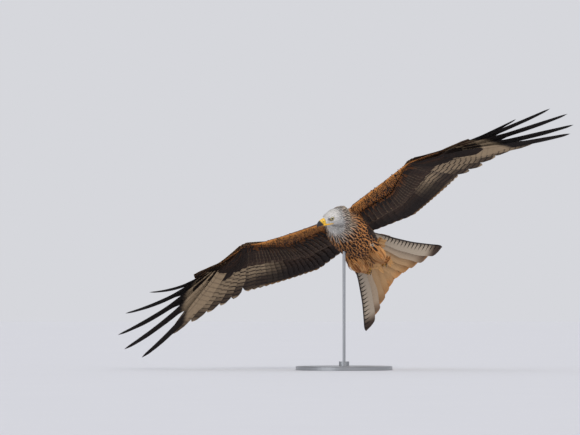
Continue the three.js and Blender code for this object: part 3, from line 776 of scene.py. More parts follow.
class Plumes:
    """Many feathers gathered into one joined mesh."""

    def __init__(self, name: str) -> None:
        """Args: name of the piece."""
        self.name = name
        self.count = 0
        self.parts: dict[str, list[np.ndarray]] = {
            key: [] for key in ("points", "faces", "lie", "bake", "ground", "edge", "pattern", "long")
        }

    def add(
        self,
        grid: Grid,
        points: np.ndarray,
        bake: np.ndarray,
        colours: Colours,
        long: np.ndarray,
        flip: bool = False,
    ) -> None:
        """Adds feathers of one blank.

        Args:
            grid: the blank.
            points: the places of its points, one set for each feather.
            bake: their places on the OFBake map.
            colours: their colours, for each feather or each point.
            long: length of each feather in millimetres.
            flip: whether the faces turn over.
        """
        feathers, verts = points.shape[:2]
        lie = np.stack([(grid.u + 1) / 2, grid.v], 1)
        faces = grid.faces[:, ::-1] if flip else grid.faces
        starts = self.count + np.arange(feathers)[:, None, None] * verts
        self.count += feathers * verts
        self.parts["points"].append(points.reshape(-1, 3))
        self.parts["faces"].append((faces[None] + starts).reshape(-1, 4))
        self.parts["lie"].append(np.broadcast_to(lie, (feathers, verts, 2)).reshape(-1, 2))
        self.parts["bake"].append(bake.reshape(-1, 2))
        for key in ("ground", "edge", "pattern"):
            rows = getattr(colours, key)
            rows = rows[:, None] if rows.ndim == 2 else rows
            self.parts[key].append(np.broadcast_to(rows, (feathers, verts, 3)).reshape(-1, 3))
        self.parts["long"].append(np.repeat(long * MM, verts))

    def make(self, material: bpy.types.Material) -> bpy.types.Object:
        """Returns the joined piece in the part's frame."""
        data = {key: np.concatenate(rows) for key, rows in self.parts.items()}
        mesh = bpy.data.meshes.new(self.name)
        mesh.from_pydata(BIRD.out(data["points"]) * MM, [], data["faces"])
        corner = corners(mesh)
        for name, key in (("Lie", "lie"), ("OFBake", "bake")):
            layer = mesh.uv_layers.new(name=name)
            layer.uv.foreach_set("vector", data[key][corner].astype(np.float32).ravel())
        mesh.uv_layers["Lie"].active_render = True
        write(mesh, "Ground", opaque(data["ground"]))
        write(mesh, "Edge", opaque(data["edge"]))
        write(mesh, "Pattern", data["pattern"])
        write(mesh, "Long", data["long"][:, None])
        mesh.shade_smooth()
        return placed(mesh, material)


def corners(mesh: bpy.types.Mesh) -> np.ndarray:
    """Returns the point at each corner of a mesh's faces."""
    corner = np.zeros(len(mesh.loops), np.int64)
    mesh.loops.foreach_get("vertex_index", corner)
    return corner


def opaque(rows: np.ndarray) -> np.ndarray:
    """Returns colours kept in range, with a full alpha."""
    return np.concatenate([clamp(rows), np.ones((len(rows), 1))], 1)


def write(mesh: bpy.types.Mesh, name: str, rows: np.ndarray) -> None:
    """Stores one number, a vector of three or a colour of four for each point of a mesh."""
    kinds = {1: ("FLOAT", "value"), 3: ("FLOAT_VECTOR", "vector"), 4: ("FLOAT_COLOR", "color")}
    kind, key = kinds[rows.shape[1]]
    layer = mesh.attributes.new(name, kind, "POINT")
    layer.data.foreach_set(key, rows.astype(np.float32).ravel())


def placed(mesh: bpy.types.Mesh, material: bpy.types.Material | None) -> bpy.types.Object:
    """Returns a new object of a mesh, in the scene and with its material."""
    piece = bpy.data.objects.new(mesh.name, mesh)
    bpy.context.scene.collection.objects.link(piece)
    if material:
        mesh.materials.append(material)
    return piece


def points_of(mesh: bpy.types.Mesh) -> tuple[np.ndarray, np.ndarray]:
    """Returns the points of a mesh and their normals, in the bird's frame."""
    points = np.zeros(len(mesh.vertices) * 3)
    mesh.vertices.foreach_get("co", points)
    normals = np.zeros(len(mesh.vertices) * 3)
    mesh.vertex_normals.foreach_get("vector", normals)
    return BIRD.into(points.reshape(-1, 3) / MM), normals.reshape(-1, 3) @ BIRD.turned


def store(mesh: bpy.types.Mesh, points: np.ndarray) -> None:
    """Places the points of a mesh, given in the bird's frame."""
    mesh.vertices.foreach_set("co", (BIRD.out(points) * MM).ravel())


def meshed(shape: bmesh.types.BMesh, name: str) -> bpy.types.Mesh:
    """Returns a new mesh of a shape, and frees the shape."""
    mesh = bpy.data.meshes.new(name)
    shape.to_mesh(mesh)
    shape.free()
    return mesh


def loft(rings: Sequence[np.ndarray], shape: bmesh.types.BMesh) -> None:
    """Adds a closed tube through rings of points of the bird's frame, with both ends capped."""
    loops = []
    for ring in rings:
        verts = [shape.verts.new(point) for point in BIRD.out(ring) * MM]
        loops.append([shape.edges.new((a, b)) for a, b in zip(verts, verts[1:] + verts[:1])])
    bmesh.ops.contextual_create(shape, geom=loops[0])
    bmesh.ops.contextual_create(shape, geom=loops[-1])
    for first, second in zip(loops, loops[1:]):
        bmesh.ops.bridge_loops(shape, edges=first + second)


def remeshed(shape: bmesh.types.BMesh, name: str, voxel: float, rounds: int) -> bpy.types.Mesh:
    """Fuses closed shapes into one even mesh.

    Args:
        shape: the closed shapes, freed afterwards.
        name: of the new mesh.
        voxel: size of its faces in metres.
        rounds: of smoothing.

    Returns:
        The fused mesh.
    """
    bmesh.ops.recalc_face_normals(shape, faces=shape.faces)
    draft = meshed(shape, name + "_draft")
    holder = placed(draft, None)
    voxels = holder.modifiers.new("voxels", "REMESH")
    voxels.mode = "VOXEL"
    voxels.voxel_size = voxel
    even = holder.modifiers.new("even", "SMOOTH")
    even.factor = 0.5
    even.iterations = rounds
    bpy.context.view_layer.update()
    fused = bpy.data.meshes.new_from_object(holder.evaluated_get(bpy.context.evaluated_depsgraph_get()))
    fused.name = name
    bpy.data.objects.remove(holder)
    bpy.data.meshes.remove(draft)
    return fused


def node_shape(*nodes: str) -> bmesh.types.BMesh:
    """Returns a new shape with the merged meshes of CAD nodes."""
    shape = bmesh.new()
    for node in nodes:
        shape.from_mesh(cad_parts[node].data)
    bmesh.ops.remove_doubles(shape, verts=shape.verts, dist=1e-6)
    return shape


@dataclass
class Parts:
    """Shares of each point of the skin in the parts of the body.

    The limits of a part are pairs in millimetres, or of the normal: outside at the first, inside at the
    second. Those of the head and the neck's reach are in the head's frame, round a point in the skull.
    """

    HEAD_MIDDLE = (2, 0, 0)
    HEAD_REAR, HEAD_REACH = (-32, -14), (62, 50)
    NECK_AHEAD, NECK_REACH = (26, 64), (78, 60)
    ARM_ASIDE, ARM_HEIGHT = (50, 60), (-62, -40)
    LEG_HEIGHT, LEG_BACK, LEG_ASIDE = (-50, -62), (-60, -78), (12, 20)
    RUMP_BACK = (-150, -185)
    UPWARD = (-0.1, 0.45)

    head: np.ndarray
    neck: np.ndarray
    arm: np.ndarray
    leg: np.ndarray
    rump: np.ndarray
    above: np.ndarray
    ahead: np.ndarray

    @classmethod
    def at(cls, points: np.ndarray, normals: np.ndarray) -> "Parts":
        """Returns the shares at points of the bird's frame."""
        ahead = HEAD.into(points)[:, 0]
        far = reach_of(HEAD.into(points), cls.HEAD_MIDDLE, (1, 1, 1))
        aside = abs(points[:, 1])
        head = smooth(*cls.HEAD_REAR, ahead) * smooth(*cls.HEAD_REACH, far)
        neck = smooth(*cls.NECK_AHEAD, points[:, 0]) * smooth(*cls.NECK_REACH, far) * (1 - head)
        arm = smooth(*cls.ARM_ASIDE, aside) * smooth(*cls.ARM_HEIGHT, points[:, 2])
        leg = smooth(*cls.LEG_HEIGHT, points[:, 2]) * smooth(*cls.LEG_BACK, points[:, 0])
        leg = leg * smooth(*cls.LEG_ASIDE, aside)
        rump = smooth(*cls.RUMP_BACK, points[:, 0])
        return cls(head, neck, arm, leg, rump, smooth(*cls.UPWARD, normals[:, 2]), ahead)

    def of(self, index: np.ndarray) -> "Parts":
        """Returns the shares of chosen points."""
        return Parts(*(getattr(self, item.name)[index] for item in fields(self)))


class Markings:
    """Colours of the body, head and arm feathers, alike on the skin and its coat, with a painted shadow on
    the lower breast.

    Each patch has a centre and radii in millimetres; the throat's are in the head's frame.
    """

    FLANK = ((-44, 43, -60), (12, 10, 10))
    # Centre and radii of the painted shadow under the head and by the right wing, on the lower breast, where
    # the dark streaks are heavier too.
    BREAST_DUSK = ((26, -14, -58), (34, 36, 24))
    THROAT = ((20, 0, -24), (1, 1, 1.2))
    LORE = ((4, 0, -1), (15, 12, 7.5))

    def __init__(self, seed: int) -> None:
        """Args: seed of the slight differences between feathers."""
        self.chance = np.random.default_rng(seed)

    def at(self, points: np.ndarray, normals: np.ndarray, parts: Parts) -> Colours:
        """Returns the colours at points of the skin, the arms' over the body's."""
        colours = self.body(points, parts)
        for wing in WINGS:
            here = (parts.arm > 0.5) & (points[:, 1] * wing.side > 0)
            arm = self.arm(wing, points[here], normals[here])
            for key in ("ground", "edge", "pattern"):
                getattr(colours, key)[here] = getattr(arm, key)
        return colours

    def body(self, points: np.ndarray, parts: Parts) -> Colours:
        """Returns the colours of the torso, neck, head, legs and rump."""
        count = len(points)
        chance = self.chance.random(count)
        tuft = clamp(self.chance.normal(0.4, 0.35, count))
        local = HEAD.into(points)
        belly = smooth(-40, -115, points[:, 0])
        # Share in the patch of painted shadow under the head and by the right wing; there the ground darkens
        # towards soot and the dark streaks grow heavier.
        dusk = smooth(1.25, 0.4, reach_of(points, *self.BREAST_DUSK))
        throat = smooth(54, 30, reach_of(local, *self.THROAT))
        near = clamp(smooth(-68, -32, parts.ahead) + throat)
        below = smooth(-16, -34, local[:, 2]) * smooth(34, 10, parts.ahead)
        nape = clamp(smooth(8, -24, parts.ahead) + 0.4 * below)

        golden = blend(Tone.TAN, Tone.ORANGE, 0.4)
        straw = blend(Tone.ORANGE * 0.9, Tone.TAN * 1.12, chance)
        ground = layered(
            blend(Tone.ORANGE, Tone.RUFOUS, 0.15 + 0.5 * chance),
            (blend(golden, Tone.CHESTNUT * 0.8, 0.8 * tuft), belly * 0.9),
            (blend(Tone.UMBER, Tone.CHESTNUT, chance * 0.5), parts.above * (1 - parts.neck * 0.6)),
            (Tone.TAN, parts.rump * (1 - parts.above)),
            (Tone.RUFOUS * 1.05, parts.rump * parts.above),
            (blend(straw, Tone.CHESTNUT * 0.9, 0.85 * tuft), parts.leg),
            (Tone.CREAM, smooth(1.2, 0.6, reach_of(points, *self.FLANK)) * 0.95),
            # Painted shadow on the lower breast by the right wing.
            (Tone.SOOT, 0.4 * dusk),
            (
                blend(Tone.ORANGE, blend(Tone.CREAM, Tone.PALE, throat), near),
                clamp(parts.neck + throat) * 0.9,
            ),
            (blend(Tone.PALE, Tone.ASH, 0.1 + 0.6 * nape), parts.head),
            (Tone.GREY * 0.75, self.eye_shade(points) * parts.head),
        )
        edge = layered(
            Tone.ORANGE * 1.12,
            (Tone.CREAM, clamp(parts.neck * near + 0.1)),
            (Tone.RUFOUS, parts.above * (1 - parts.neck)),
            (Tone.PALE, parts.head),
        )
        mark = (1.2 + 0.4 * dusk - 0.75 * belly - 0.45 * parts.above) * (0.76 + 0.5 * chance)
        mark = mark * (1 - 0.9 * parts.rump) * (1 - 0.75 * parts.leg)
        crown = smooth(20, -10, parts.ahead) * smooth(-14, 6, local[:, 2])
        mark = mark * (1 - parts.head) + parts.head * (0.26 + 0.3 * crown + 0.42 * nape)
        rim = 0.85 * (1 - parts.rump) * (1 - 0.7 * parts.head)
        pattern = np.stack([mark * self.spread(count, 0.2), np.zeros(count), rim], 1)
        return self.varied(Colours(ground, edge, pattern))

    def arm(self, wing: Wing, points: np.ndarray, normals: np.ndarray) -> Colours:
        """Returns the colours of the small coverts on a wing's arm, above and below."""
        count = len(points)
        chord, place = wing.chord_of(points), wing.place_of(points)
        hand = smooth(10, 8.5, place)
        above = smooth(-0.3, 0.3, normals[:, 2])
        dark = smooth(0.24, 0.46, chord + self.chance.normal(0, 0.12, count))
        under = layered(
            Tone.ORANGE,
            (Tone.RUFOUS * 0.75, smooth(0.0, 0.24, chord)),
            (Tone.BLACK * 1.1, clamp(dark + hand * smooth(0.0, 0.14, chord))),
        )
        upper = layered(
            Tone.CHESTNUT,
            (Tone.UMBER, self.chance.random(count) * 0.9),
            (Tone.BUFF * 0.62, smooth(0.55, 0.9, chord) * (1 - hand) * 0.7),
        )
        edge = layered(Tone.ORANGE, (Tone.RUFOUS, dark), (Tone.TAN, above * 0.7))
        mark = (0.85 - 0.3 * dark) * self.spread(count, 0.4)
        pattern = np.stack([mark, np.zeros(count), clamp(0.7 - 0.5 * dark) * (1 - 0.5 * hand)], 1)
        return self.varied(Colours(blend(under, upper, above), edge, pattern))

    def eye_shade(self, points: np.ndarray) -> np.ndarray:
        """Returns the grey shade before and round each eye."""
        ahead, radii = self.LORE
        far = [reach_of(HEAD.into(points), mirrored(EYE, side) + ahead, radii) for side in SIDES]
        return smooth(1.1, 0.5, np.minimum(*far)) * 0.9

    def spread(self, count: int, share: float) -> np.ndarray:
        """Returns factors round one."""
        return 1 + share * (self.chance.random(count) - 0.5) * 2

    def varied(self, colours: Colours) -> Colours:
        """Returns colours with each feather a little lighter or darker."""
        factor = self.spread(len(colours.ground), 0.14)[:, None]
        return Colours(clamp(colours.ground * factor), colours.edge, clamp(colours.pattern))


@dataclass
class Skin:
    """One skin over head, neck, torso, thighs, arms and tail base, inside the coat."""

    voxel: float = 0.0022
    body_depth: float = 3.6
    arm_depth: float = 1.6
    rump_depth: float = 1.2
    head_depth: tuple[float, float] = (2.4, 0.6)
    profile: Rows = (
        (0, 0), (0.08, 0.34), (0.28, 0.5), (0.6, 0.36), (0.88, 0.16),
        (1, 0), (0.88, -0.16), (0.6, -0.34), (0.28, -0.42), (0.08, -0.28),
    )

    def arm_rings(self, wing: Wing) -> list[np.ndarray]:
        """Returns the sections of a wing's arm."""
        back, high = np.array(self.profile, float).T
        rings = []
        for mid, lead, rear, thick in wing.stations():
            rings.append(mid + np.stack([lead - back * (lead + rear), 0 * back, high * thick], 1))
        return rings

    def stump_rings(self) -> list[np.ndarray]:
        """Returns the sections of the tail's flat base."""
        turn = np.linspace(0, 2 * math.pi, 16, endpoint=False)
        rings = []
        for x, z, half, above, below in TAIL.stump:
            rise = np.where(np.sin(turn) > 0, above, below) * np.sin(turn)
            rings.append(TAIL.frame.out(np.stack([np.full(16, x), half * np.cos(turn), z + rise], 1)))
        return rings

    def depth(self, parts: Parts) -> np.ndarray:
        """Returns how far the skin lies inside the solids."""
        depth = self.body_depth * (1 - parts.arm) + self.arm_depth * parts.arm
        depth = depth * (1 - parts.rump) + self.rump_depth * parts.rump
        face = ramp(self.head_depth, smooth(-30, 12, parts.ahead))
        return depth * (1 - parts.head) + face * parts.head

    def make(self, material: bpy.types.Material, markings: Markings) -> bpy.types.Object:
        """Returns the skin with its colours and its unwrap."""
        shape = node_shape("torso", "neck", "head", "leg_left", "leg_right")
        for wing in WINGS:
            loft(self.arm_rings(wing), shape)
        loft(self.stump_rings(), shape)
        mesh = remeshed(shape, "skin", self.voxel, 4)
        points, normals = points_of(mesh)
        parts = Parts.at(points, normals)
        points = points - normals * self.depth(parts)[:, None]
        store(mesh, points)
        write(mesh, "Ground", opaque(markings.at(points, normals, parts).ground))
        mesh.shade_smooth()
        mesh.update()
        piece = placed(mesh, material)
        unwrap(piece)
        return piece


def unwrap(piece: bpy.types.Object) -> None:
    """Gives a piece its OFBake map, an unwrap of its own shape."""
    layer = piece.data.uv_layers.new(name="OFBake")
    piece.data.uv_layers.active = layer
    bpy.ops.object.select_all(action="DESELECT")
    piece.select_set(True)
    bpy.context.view_layer.objects.active = piece
    bpy.ops.object.mode_set(mode="EDIT")
    bpy.ops.mesh.select_all(action="SELECT")
    bpy.ops.uv.smart_project(angle_limit=math.radians(66), island_margin=0.002)
    bpy.ops.object.mode_set(mode="OBJECT")
    piece.select_set(False)


def unwrapped_places(mesh: bpy.types.Mesh) -> np.ndarray:
    """Returns the place of each point of a mesh on its OFBake map."""
    places = np.zeros(len(mesh.loops) * 2, np.float32)
    mesh.uv_layers["OFBake"].uv.foreach_get("vector", places)
    found = np.zeros((len(mesh.vertices), 2))
    found[corners(mesh)] = places.reshape(-1, 2)
    return found


@dataclass(frozen=True)
class Cut:
    """Small feathers: length, width, gap and height of the tips in millimetres, and their hug.

    The hug is how far a feather follows the skin under it, from 0 to 1.
    """

    length: float
    width: float
    gap: float
    rise: float
    hug: float = 1.0

    def row(self) -> np.ndarray:
        """Returns the numbers in order."""
        return np.array([self.length, self.width, self.gap, self.rise, self.hug])


class Coat:
    """Small feathers over the skin, in joined pieces, spaced and turned by the lie of each region."""

    FACE = Cut(6.5, 2.4, 1.75, 0.7)
    CROWN = Cut(13.0, 3.6, 2.5, 1.1)
    NAPE = Cut(24.0, 7.6, 4.2, 2.2)
    BREAST = Cut(33.0, 13.5, 8.2, 3.2)
    BELLY = Cut(34.0, 13.5, 7.8, 3.0)
    VENT = Cut(70.0, 13.0, 5.2, 4.0, 0.1)
    THIGH = Cut(64.0, 9.5, 5.2, 3.2, 0.12)
    RUMP = Cut(40.0, 12.0, 7.0, 3.0)
    ARM = Cut(24.0, 11.5, 6.4, 2.0)
    HAND = Cut(17.0, 7.5, 4.8, 1.3)

    # How much smaller the arm's feathers are at its leading edge, in the order of a cut's numbers.
    FRONT = (0.55, 0.5, 0.48, 0.35, 0.0)

    # Directions of the feathers on the body, head and thighs, and of those that hang free.
    BACKWARD = (-1.0, 0, -0.12)
    HEADWARD = (-1.0, 0, -0.18)
    THIGHWARD = (-1.0, 0, -0.45)
    HANGING = (-0.94, 0, -0.34)

    # The head's bare face in millimetres, the bare ring round an eye, and a feather's patch on the map.
    FACE_FROM, FACE_SURE, HEAD_RADIUS = 26.0, 33.5, 60.0
    EYE_RING = 8.2
    PATCH = 0.003

    def __init__(self, skin: bpy.types.Object, markings: Markings, seed: int) -> None:
        """Args: skin carries the feathers; markings colours them; seed settles their differences."""
        self.chance = np.random.default_rng(seed)
        self.markings = markings
        self.points, self.normals = points_of(skin.data)
        self.parts = Parts.at(self.points, self.normals)
        self.places = unwrapped_places(skin.data)
        self.tree = KDTree(len(self.points))
        for i, point in enumerate(self.points):
            self.tree.insert(point, i)
        self.tree.balance()
        self.sizes = self.sizes_at()
        self.lie = self.lie_at()
        self.roots = self.spaced()

    def sizes_at(self) -> np.ndarray:
        """Returns length, width, gap, rise and hug at each point of the skin."""
        parts, x = self.parts, self.points[:, 0]
        vent = smooth(-96, -132, x) * smooth(0, -0.45, self.normals[:, 2])
        sizes = layered(
            self.BREAST.row(),
            (self.BELLY.row(), smooth(0, -110, x)),
            (self.RUMP.row(), parts.rump),
            (self.THIGH.row(), parts.leg),
            (self.VENT.row(), vent * smooth(40, 26, abs(self.points[:, 1]))),
            (self.NAPE.row(), parts.neck),
            (blend(self.FACE.row(), self.CROWN.row(), smooth(22, -6, parts.ahead)), parts.head),
        )
        for wing in WINGS:
            arm = blend(self.ARM.row(), self.HAND.row(), smooth(10, 8, wing.place_of(self.points)))
            front = smooth(0.3, 0.02, wing.chord_of(self.points))[:, None]
            sizes = blend(sizes, arm * (1 - front * np.array(self.FRONT)), self.on_arm(wing))
        return sizes

    def on_arm(self, wing: Wing) -> np.ndarray:
        """Returns the share of each point of the skin in the arm of a wing."""
        return self.parts.arm * (self.points[:, 1] * wing.side > 0)

    def lie_at(self) -> np.ndarray:
        """Returns the direction of the feathers at each point, in the skin's plane."""
        lie = layered(
            np.array(self.BACKWARD),
            (HEAD.turned @ np.array(self.HEADWARD), clamp(self.parts.head + 0.45 * self.parts.neck)),
            (np.array(self.THIGHWARD), self.parts.leg * 0.8),
        )
        for wing in WINGS:
            lie = blend(lie, wing.aims(self.points), self.on_arm(wing))
        lie = lie - self.normals * (lie * self.normals).sum(1)[:, None]
        flat = np.linalg.norm(lie, axis=1) < 0.25
        steep = self.normals[:, 2:3]
        down = np.sign(steep) * np.array([0, 0, 1.0]) - self.normals * abs(steep)
        lie[flat] = lie[flat] + 0.6 * down[flat]
        return unit(lie)

    def spaced(self) -> np.ndarray:
        """Returns the points of the skin that carry a feather, a gap apart."""
        free = ~self.covered()
        roots = []
        for i in self.chance.permutation(len(self.points)):
            if free[i]:
                roots.append(i)
                for _, other, _ in self.tree.find_range(self.points[i], self.sizes[i, 2]):
                    free[other] = False
        return np.array(roots)

    def covered(self) -> np.ndarray:
        """Returns the points that stay bare: round the eyes and inside the bill's face."""
        local = HEAD.into(self.points)
        forward = self.normals @ (HEAD.turned @ np.array([1.0, 0, 0]))
        bare = (local[:, 0] > self.FACE_SURE) | ((local[:, 0] > self.FACE_FROM) & (forward > 0.82))
        bare &= np.linalg.norm(local, axis=1) < self.HEAD_RADIUS
        for side in SIDES:
            bare |= np.linalg.norm(local - mirrored(EYE, side), axis=1) < self.EYE_RING
        return bare

    def profile(self, v: np.ndarray, slim: float) -> np.ndarray:
        """Returns the half width along a feather, rounder or slimmer at its tip."""
        body = np.sin(clamp(v * 1.12) * math.pi * 0.5) ** 0.5
        return body * clamp(1 - v ** (3.6 - 1.9 * slim)) ** (0.5 + 0.3 * slim)

    def make(
        self, name: str, chosen: np.ndarray, grid: Grid, material: bpy.types.Material
    ) -> bpy.types.Object:
        """Makes one piece of the coat.

        Args:
            name: of the piece.
            chosen: which of the roots it takes.
            grid: blank of its feathers.
            material: its finish.

        Returns:
            The piece.
        """
        index = self.roots[chosen]
        points, normals = self.points[index], self.normals[index]
        count = len(index)
        length, width, _, rise, hug = (self.sizes[index] * self.markings.spread(count, 0.1)[:, None]).T
        along = self.lie[index]
        hanging = np.array(self.HANGING)
        outward = clamp((hanging * normals).sum(1)) * (1 - clamp(hug))
        along = unit(along + hanging * (outward * 4)[:, None])
        across = np.cross(along, normals)
        along = unit(along + across * self.chance.normal(0, 0.08, count)[:, None])
        _, far_up = self.onto(points + along * length[:, None], length)
        agreed = np.maximum(smooth(0.25, 0.8, (normals * far_up).sum(1)), hug < 0.5)
        length = length * (0.5 + 0.5 * agreed)
        half_way, half_up = self.onto(points + along * length[:, None] / 2, length * hug * 0.16)
        along = unit(along - half_up * (along * half_up).sum(1)[:, None])
        tip, tip_up = self.onto(half_way + along * length[:, None] / 2, length * hug * 0.16)
        rise = (rise * np.clip(1 + self.chance.normal(0, 0.12, count), 0.6, 1.4))[:, None]
        half_way, tip = half_way + half_up * rise * 0.65, tip + tip_up * rise
        across = unit(np.cross(tip - points, normals + half_up + tip_up))
        slim = clamp(self.parts.neck + self.parts.head + 0.4 * self.parts.leg)[index]
        half = np.stack([self.profile(grid.v, s) for s in slim]) * width[:, None] / 2
        v = grid.v[None, :, None]
        shaft = points[:, None] * (2 * (v - 0.5) * (v - 1)) + half_way[:, None] * (4 * v * (1 - v))
        shaft = shaft + tip[:, None] * (2 * v * (v - 0.5))
        up = unit(normals[:, None] * (1 - v) + tip_up[:, None] * v)
        arch = 0.11 * (1 - grid.u**2) * half
        place = shaft + across[:, None] * (grid.u * half)[..., None] + up * arch[..., None]
        where = np.stack([grid.u / 2, grid.v - 0.5], 1) * self.PATCH
        bake = np.clip(self.places[index][:, None] + where[None], 0.0005, 0.9995)
        colours = self.markings.at(points, normals, self.parts.of(index))
        plumes = Plumes(name)
        plumes.add(grid, place, bake, colours, length)
        return plumes.make(material)

    def onto(self, targets: np.ndarray, most: np.ndarray) -> tuple[np.ndarray, np.ndarray]:
        """Moves points towards the skin under them.

        Args:
            targets: the points.
            most: how far each may move.

        Returns:
            The moved points, and the skin's normals under them.
        """
        near = np.array([self.tree.find(point)[1] for point in targets])
        normals = self.normals[near]
        off = ((targets - self.points[near]) * normals).sum(1)
        return targets - normals * np.clip(off, -most, most)[:, None], normals


@dataclass(frozen=True)
class Outline:
    """Outline of a kind of feather: shares of its length, and of its width ahead of and behind the shaft."""

    share: tuple[float, ...]
    lead: tuple[float, ...]
    trail: tuple[float, ...]

    def at(self, v: np.ndarray) -> tuple[np.ndarray, np.ndarray]:
        """Returns the leading and trailing widths at shares of the length, smoothed."""
        fine = np.linspace(0, 1, 201)
        kernel = np.hanning(13) / np.hanning(13).sum()
        widths = []
        for row in (self.lead, self.trail):
            padded = np.pad(np.interp(fine, self.share, row), 6, mode="edge")
            values = np.convolve(padded, kernel, "valid") * clamp((1 - fine) / 0.03) ** 0.5
            widths.append(np.interp(v, fine, values))
        return widths[0], widths[1]


OUTLINES = {
    "finger": Outline(
        (0, 0.1, 0.36, 0.42, 0.52, 0.8, 0.95, 1),
        (0.08, 0.25, 0.25, 0.23, 0.17, 0.15, 0.1, 0.04),
        (0.1, 0.5, 0.68, 0.66, 0.36, 0.3, 0.17, 0.05),
    ),
    "primary": Outline(
        (0, 0.12, 0.62, 0.87, 0.97, 1), (0.08, 0.34, 0.36, 0.3, 0.16, 0.06), (0.1, 0.5, 0.62, 0.5, 0.26, 0.1)
    ),
    "secondary": Outline(
        (0, 0.16, 0.66, 0.9, 0.975, 1), (0.1, 0.4, 0.42, 0.36, 0.2, 0.08), (0.12, 0.48, 0.58, 0.48, 0.26, 0.1)
    ),
    "tail": Outline(
        (0, 0.2, 0.6, 0.93, 0.985, 1), (0.08, 0.2, 0.18, 0.16, 0.1, 0.03), (0.1, 0.44, 0.7, 0.76, 0.44, 0.2)
    ),
    "covert": Outline((0, 0.1, 0.75, 0.93, 1), (0.2, 0.4, 0.5, 0.42, 0.2), (0.22, 0.42, 0.52, 0.44, 0.22)),
}


# Gives the colours of one face of a feather at its blank's points.
Colouring = Callable[[Layer, Grid], Colours]


class FlightCoat:
    """Flight feathers and their rows of coverts, built one by one with an upper and a lower face."""

    THICKNESS = 0.5
    CAMBER = 0.1

    def __init__(self, name: str, seed: int, strips: int) -> None:
        """Args: name of the piece, seed of its differences, and how many strips its OFBake map holds."""
        self.plumes = Plumes(name)
        self.chance = np.random.default_rng(seed)
        self.strips = strips
        self.used = 0

    def strip(self, grid: Grid) -> np.ndarray:
        """Returns the next free strip of the OFBake map for a blank."""
        left = (self.used % self.strips) / self.strips
        self.used += 1
        u = left + (0.08 + 0.84 * (grid.u + 1) / 2) / self.strips
        return np.stack([u, 0.01 + 0.98 * grid.v], 1)[None]

    def surface(self, vane: Vane, grid: Grid) -> tuple[np.ndarray, np.ndarray]:
        """Lays a blank along a feather.

        Args:
            vane: the feather.
            grid: the blank.

        Returns:
            Its points, and the unit vector up from its flat.
        """
        along, leading, flat = vane.axes()
        lead, trail = OUTLINES[vane.kind].at(grid.v)
        wobble = 1 + 0.03 * np.sin(grid.v * 19 + self.chance.random() * 9) * (grid.v > 0.3)
        across = np.where(grid.u > 0, grid.u * lead, grid.u * trail) * vane.width * wobble
        arch = 4 * grid.v * (1 - grid.v)
        droop = -self.CAMBER * across * across / vane.width - vane.bend * arch
        points = (
            vane.root
            + along * (vane.length * grid.v)[:, None]
            + leading * (across - vane.bow * arch)[:, None]
            + flat * droop[:, None]
        )
        return points, flat

    def add(self, vane: Vane, grid: Grid, colour: Colouring, layers: Sequence[Layer]) -> None:
        """Adds one feather.

        Args:
            vane: the feather.
            grid: its blank.
            colour: gives the colours of a face at the blank's points.
            layers: the faces to build.
        """
        points, flat = self.surface(vane, grid)
        rim = np.sqrt(clamp(1 - grid.u**2))
        for layer in layers:
            offset = flat * (layer.value * rim * self.THICKNESS / 2)[:, None]
            turned = (vane.side < 0) != (layer is Layer.LOWER)
            shape, bake, colours = (points + offset)[None], self.strip(grid), colour(layer, grid)
            self.plumes.add(grid, shape, bake, colours, np.array([vane.length]), turned)


def per_point(
    grid: Grid, ground: np.ndarray, edge: np.ndarray, mark: float, bars: np.ndarray | float, rim: float
) -> Colours:
    """Returns the colours of one feather for each point of its blank."""
    count = len(grid.u)
    pattern = np.stack([np.full(count, mark), np.broadcast_to(bars, count), np.full(count, rim)], 1)
    return Colours(ground[None], edge[None], pattern[None])


@dataclass(frozen=True)
class CovertRow:
    """One row of coverts over or under the flight feathers of a wing.

    Its rank is 0 for the greater row and more for rows nearer the leading edge. It grows forward of the
    flight feathers' roots, and its feathers' length is a base with a share of the flight feather's.
    """

    rank: int
    above: bool
    count: int
    forward: float
    base: float
    share: float
    width: float


COVERT_ROWS = (
    CovertRow(0, False, 34, 2, 70, 0.1, 30),
    CovertRow(1, False, 40, 16, 48, 0.02, 23),
    CovertRow(2, False, 44, 28, 36, 0.01, 18),
    CovertRow(0, True, 36, 2, 70, 0.1, 32),
    CovertRow(1, True, 40, 20, 50, 0.04, 26),
)


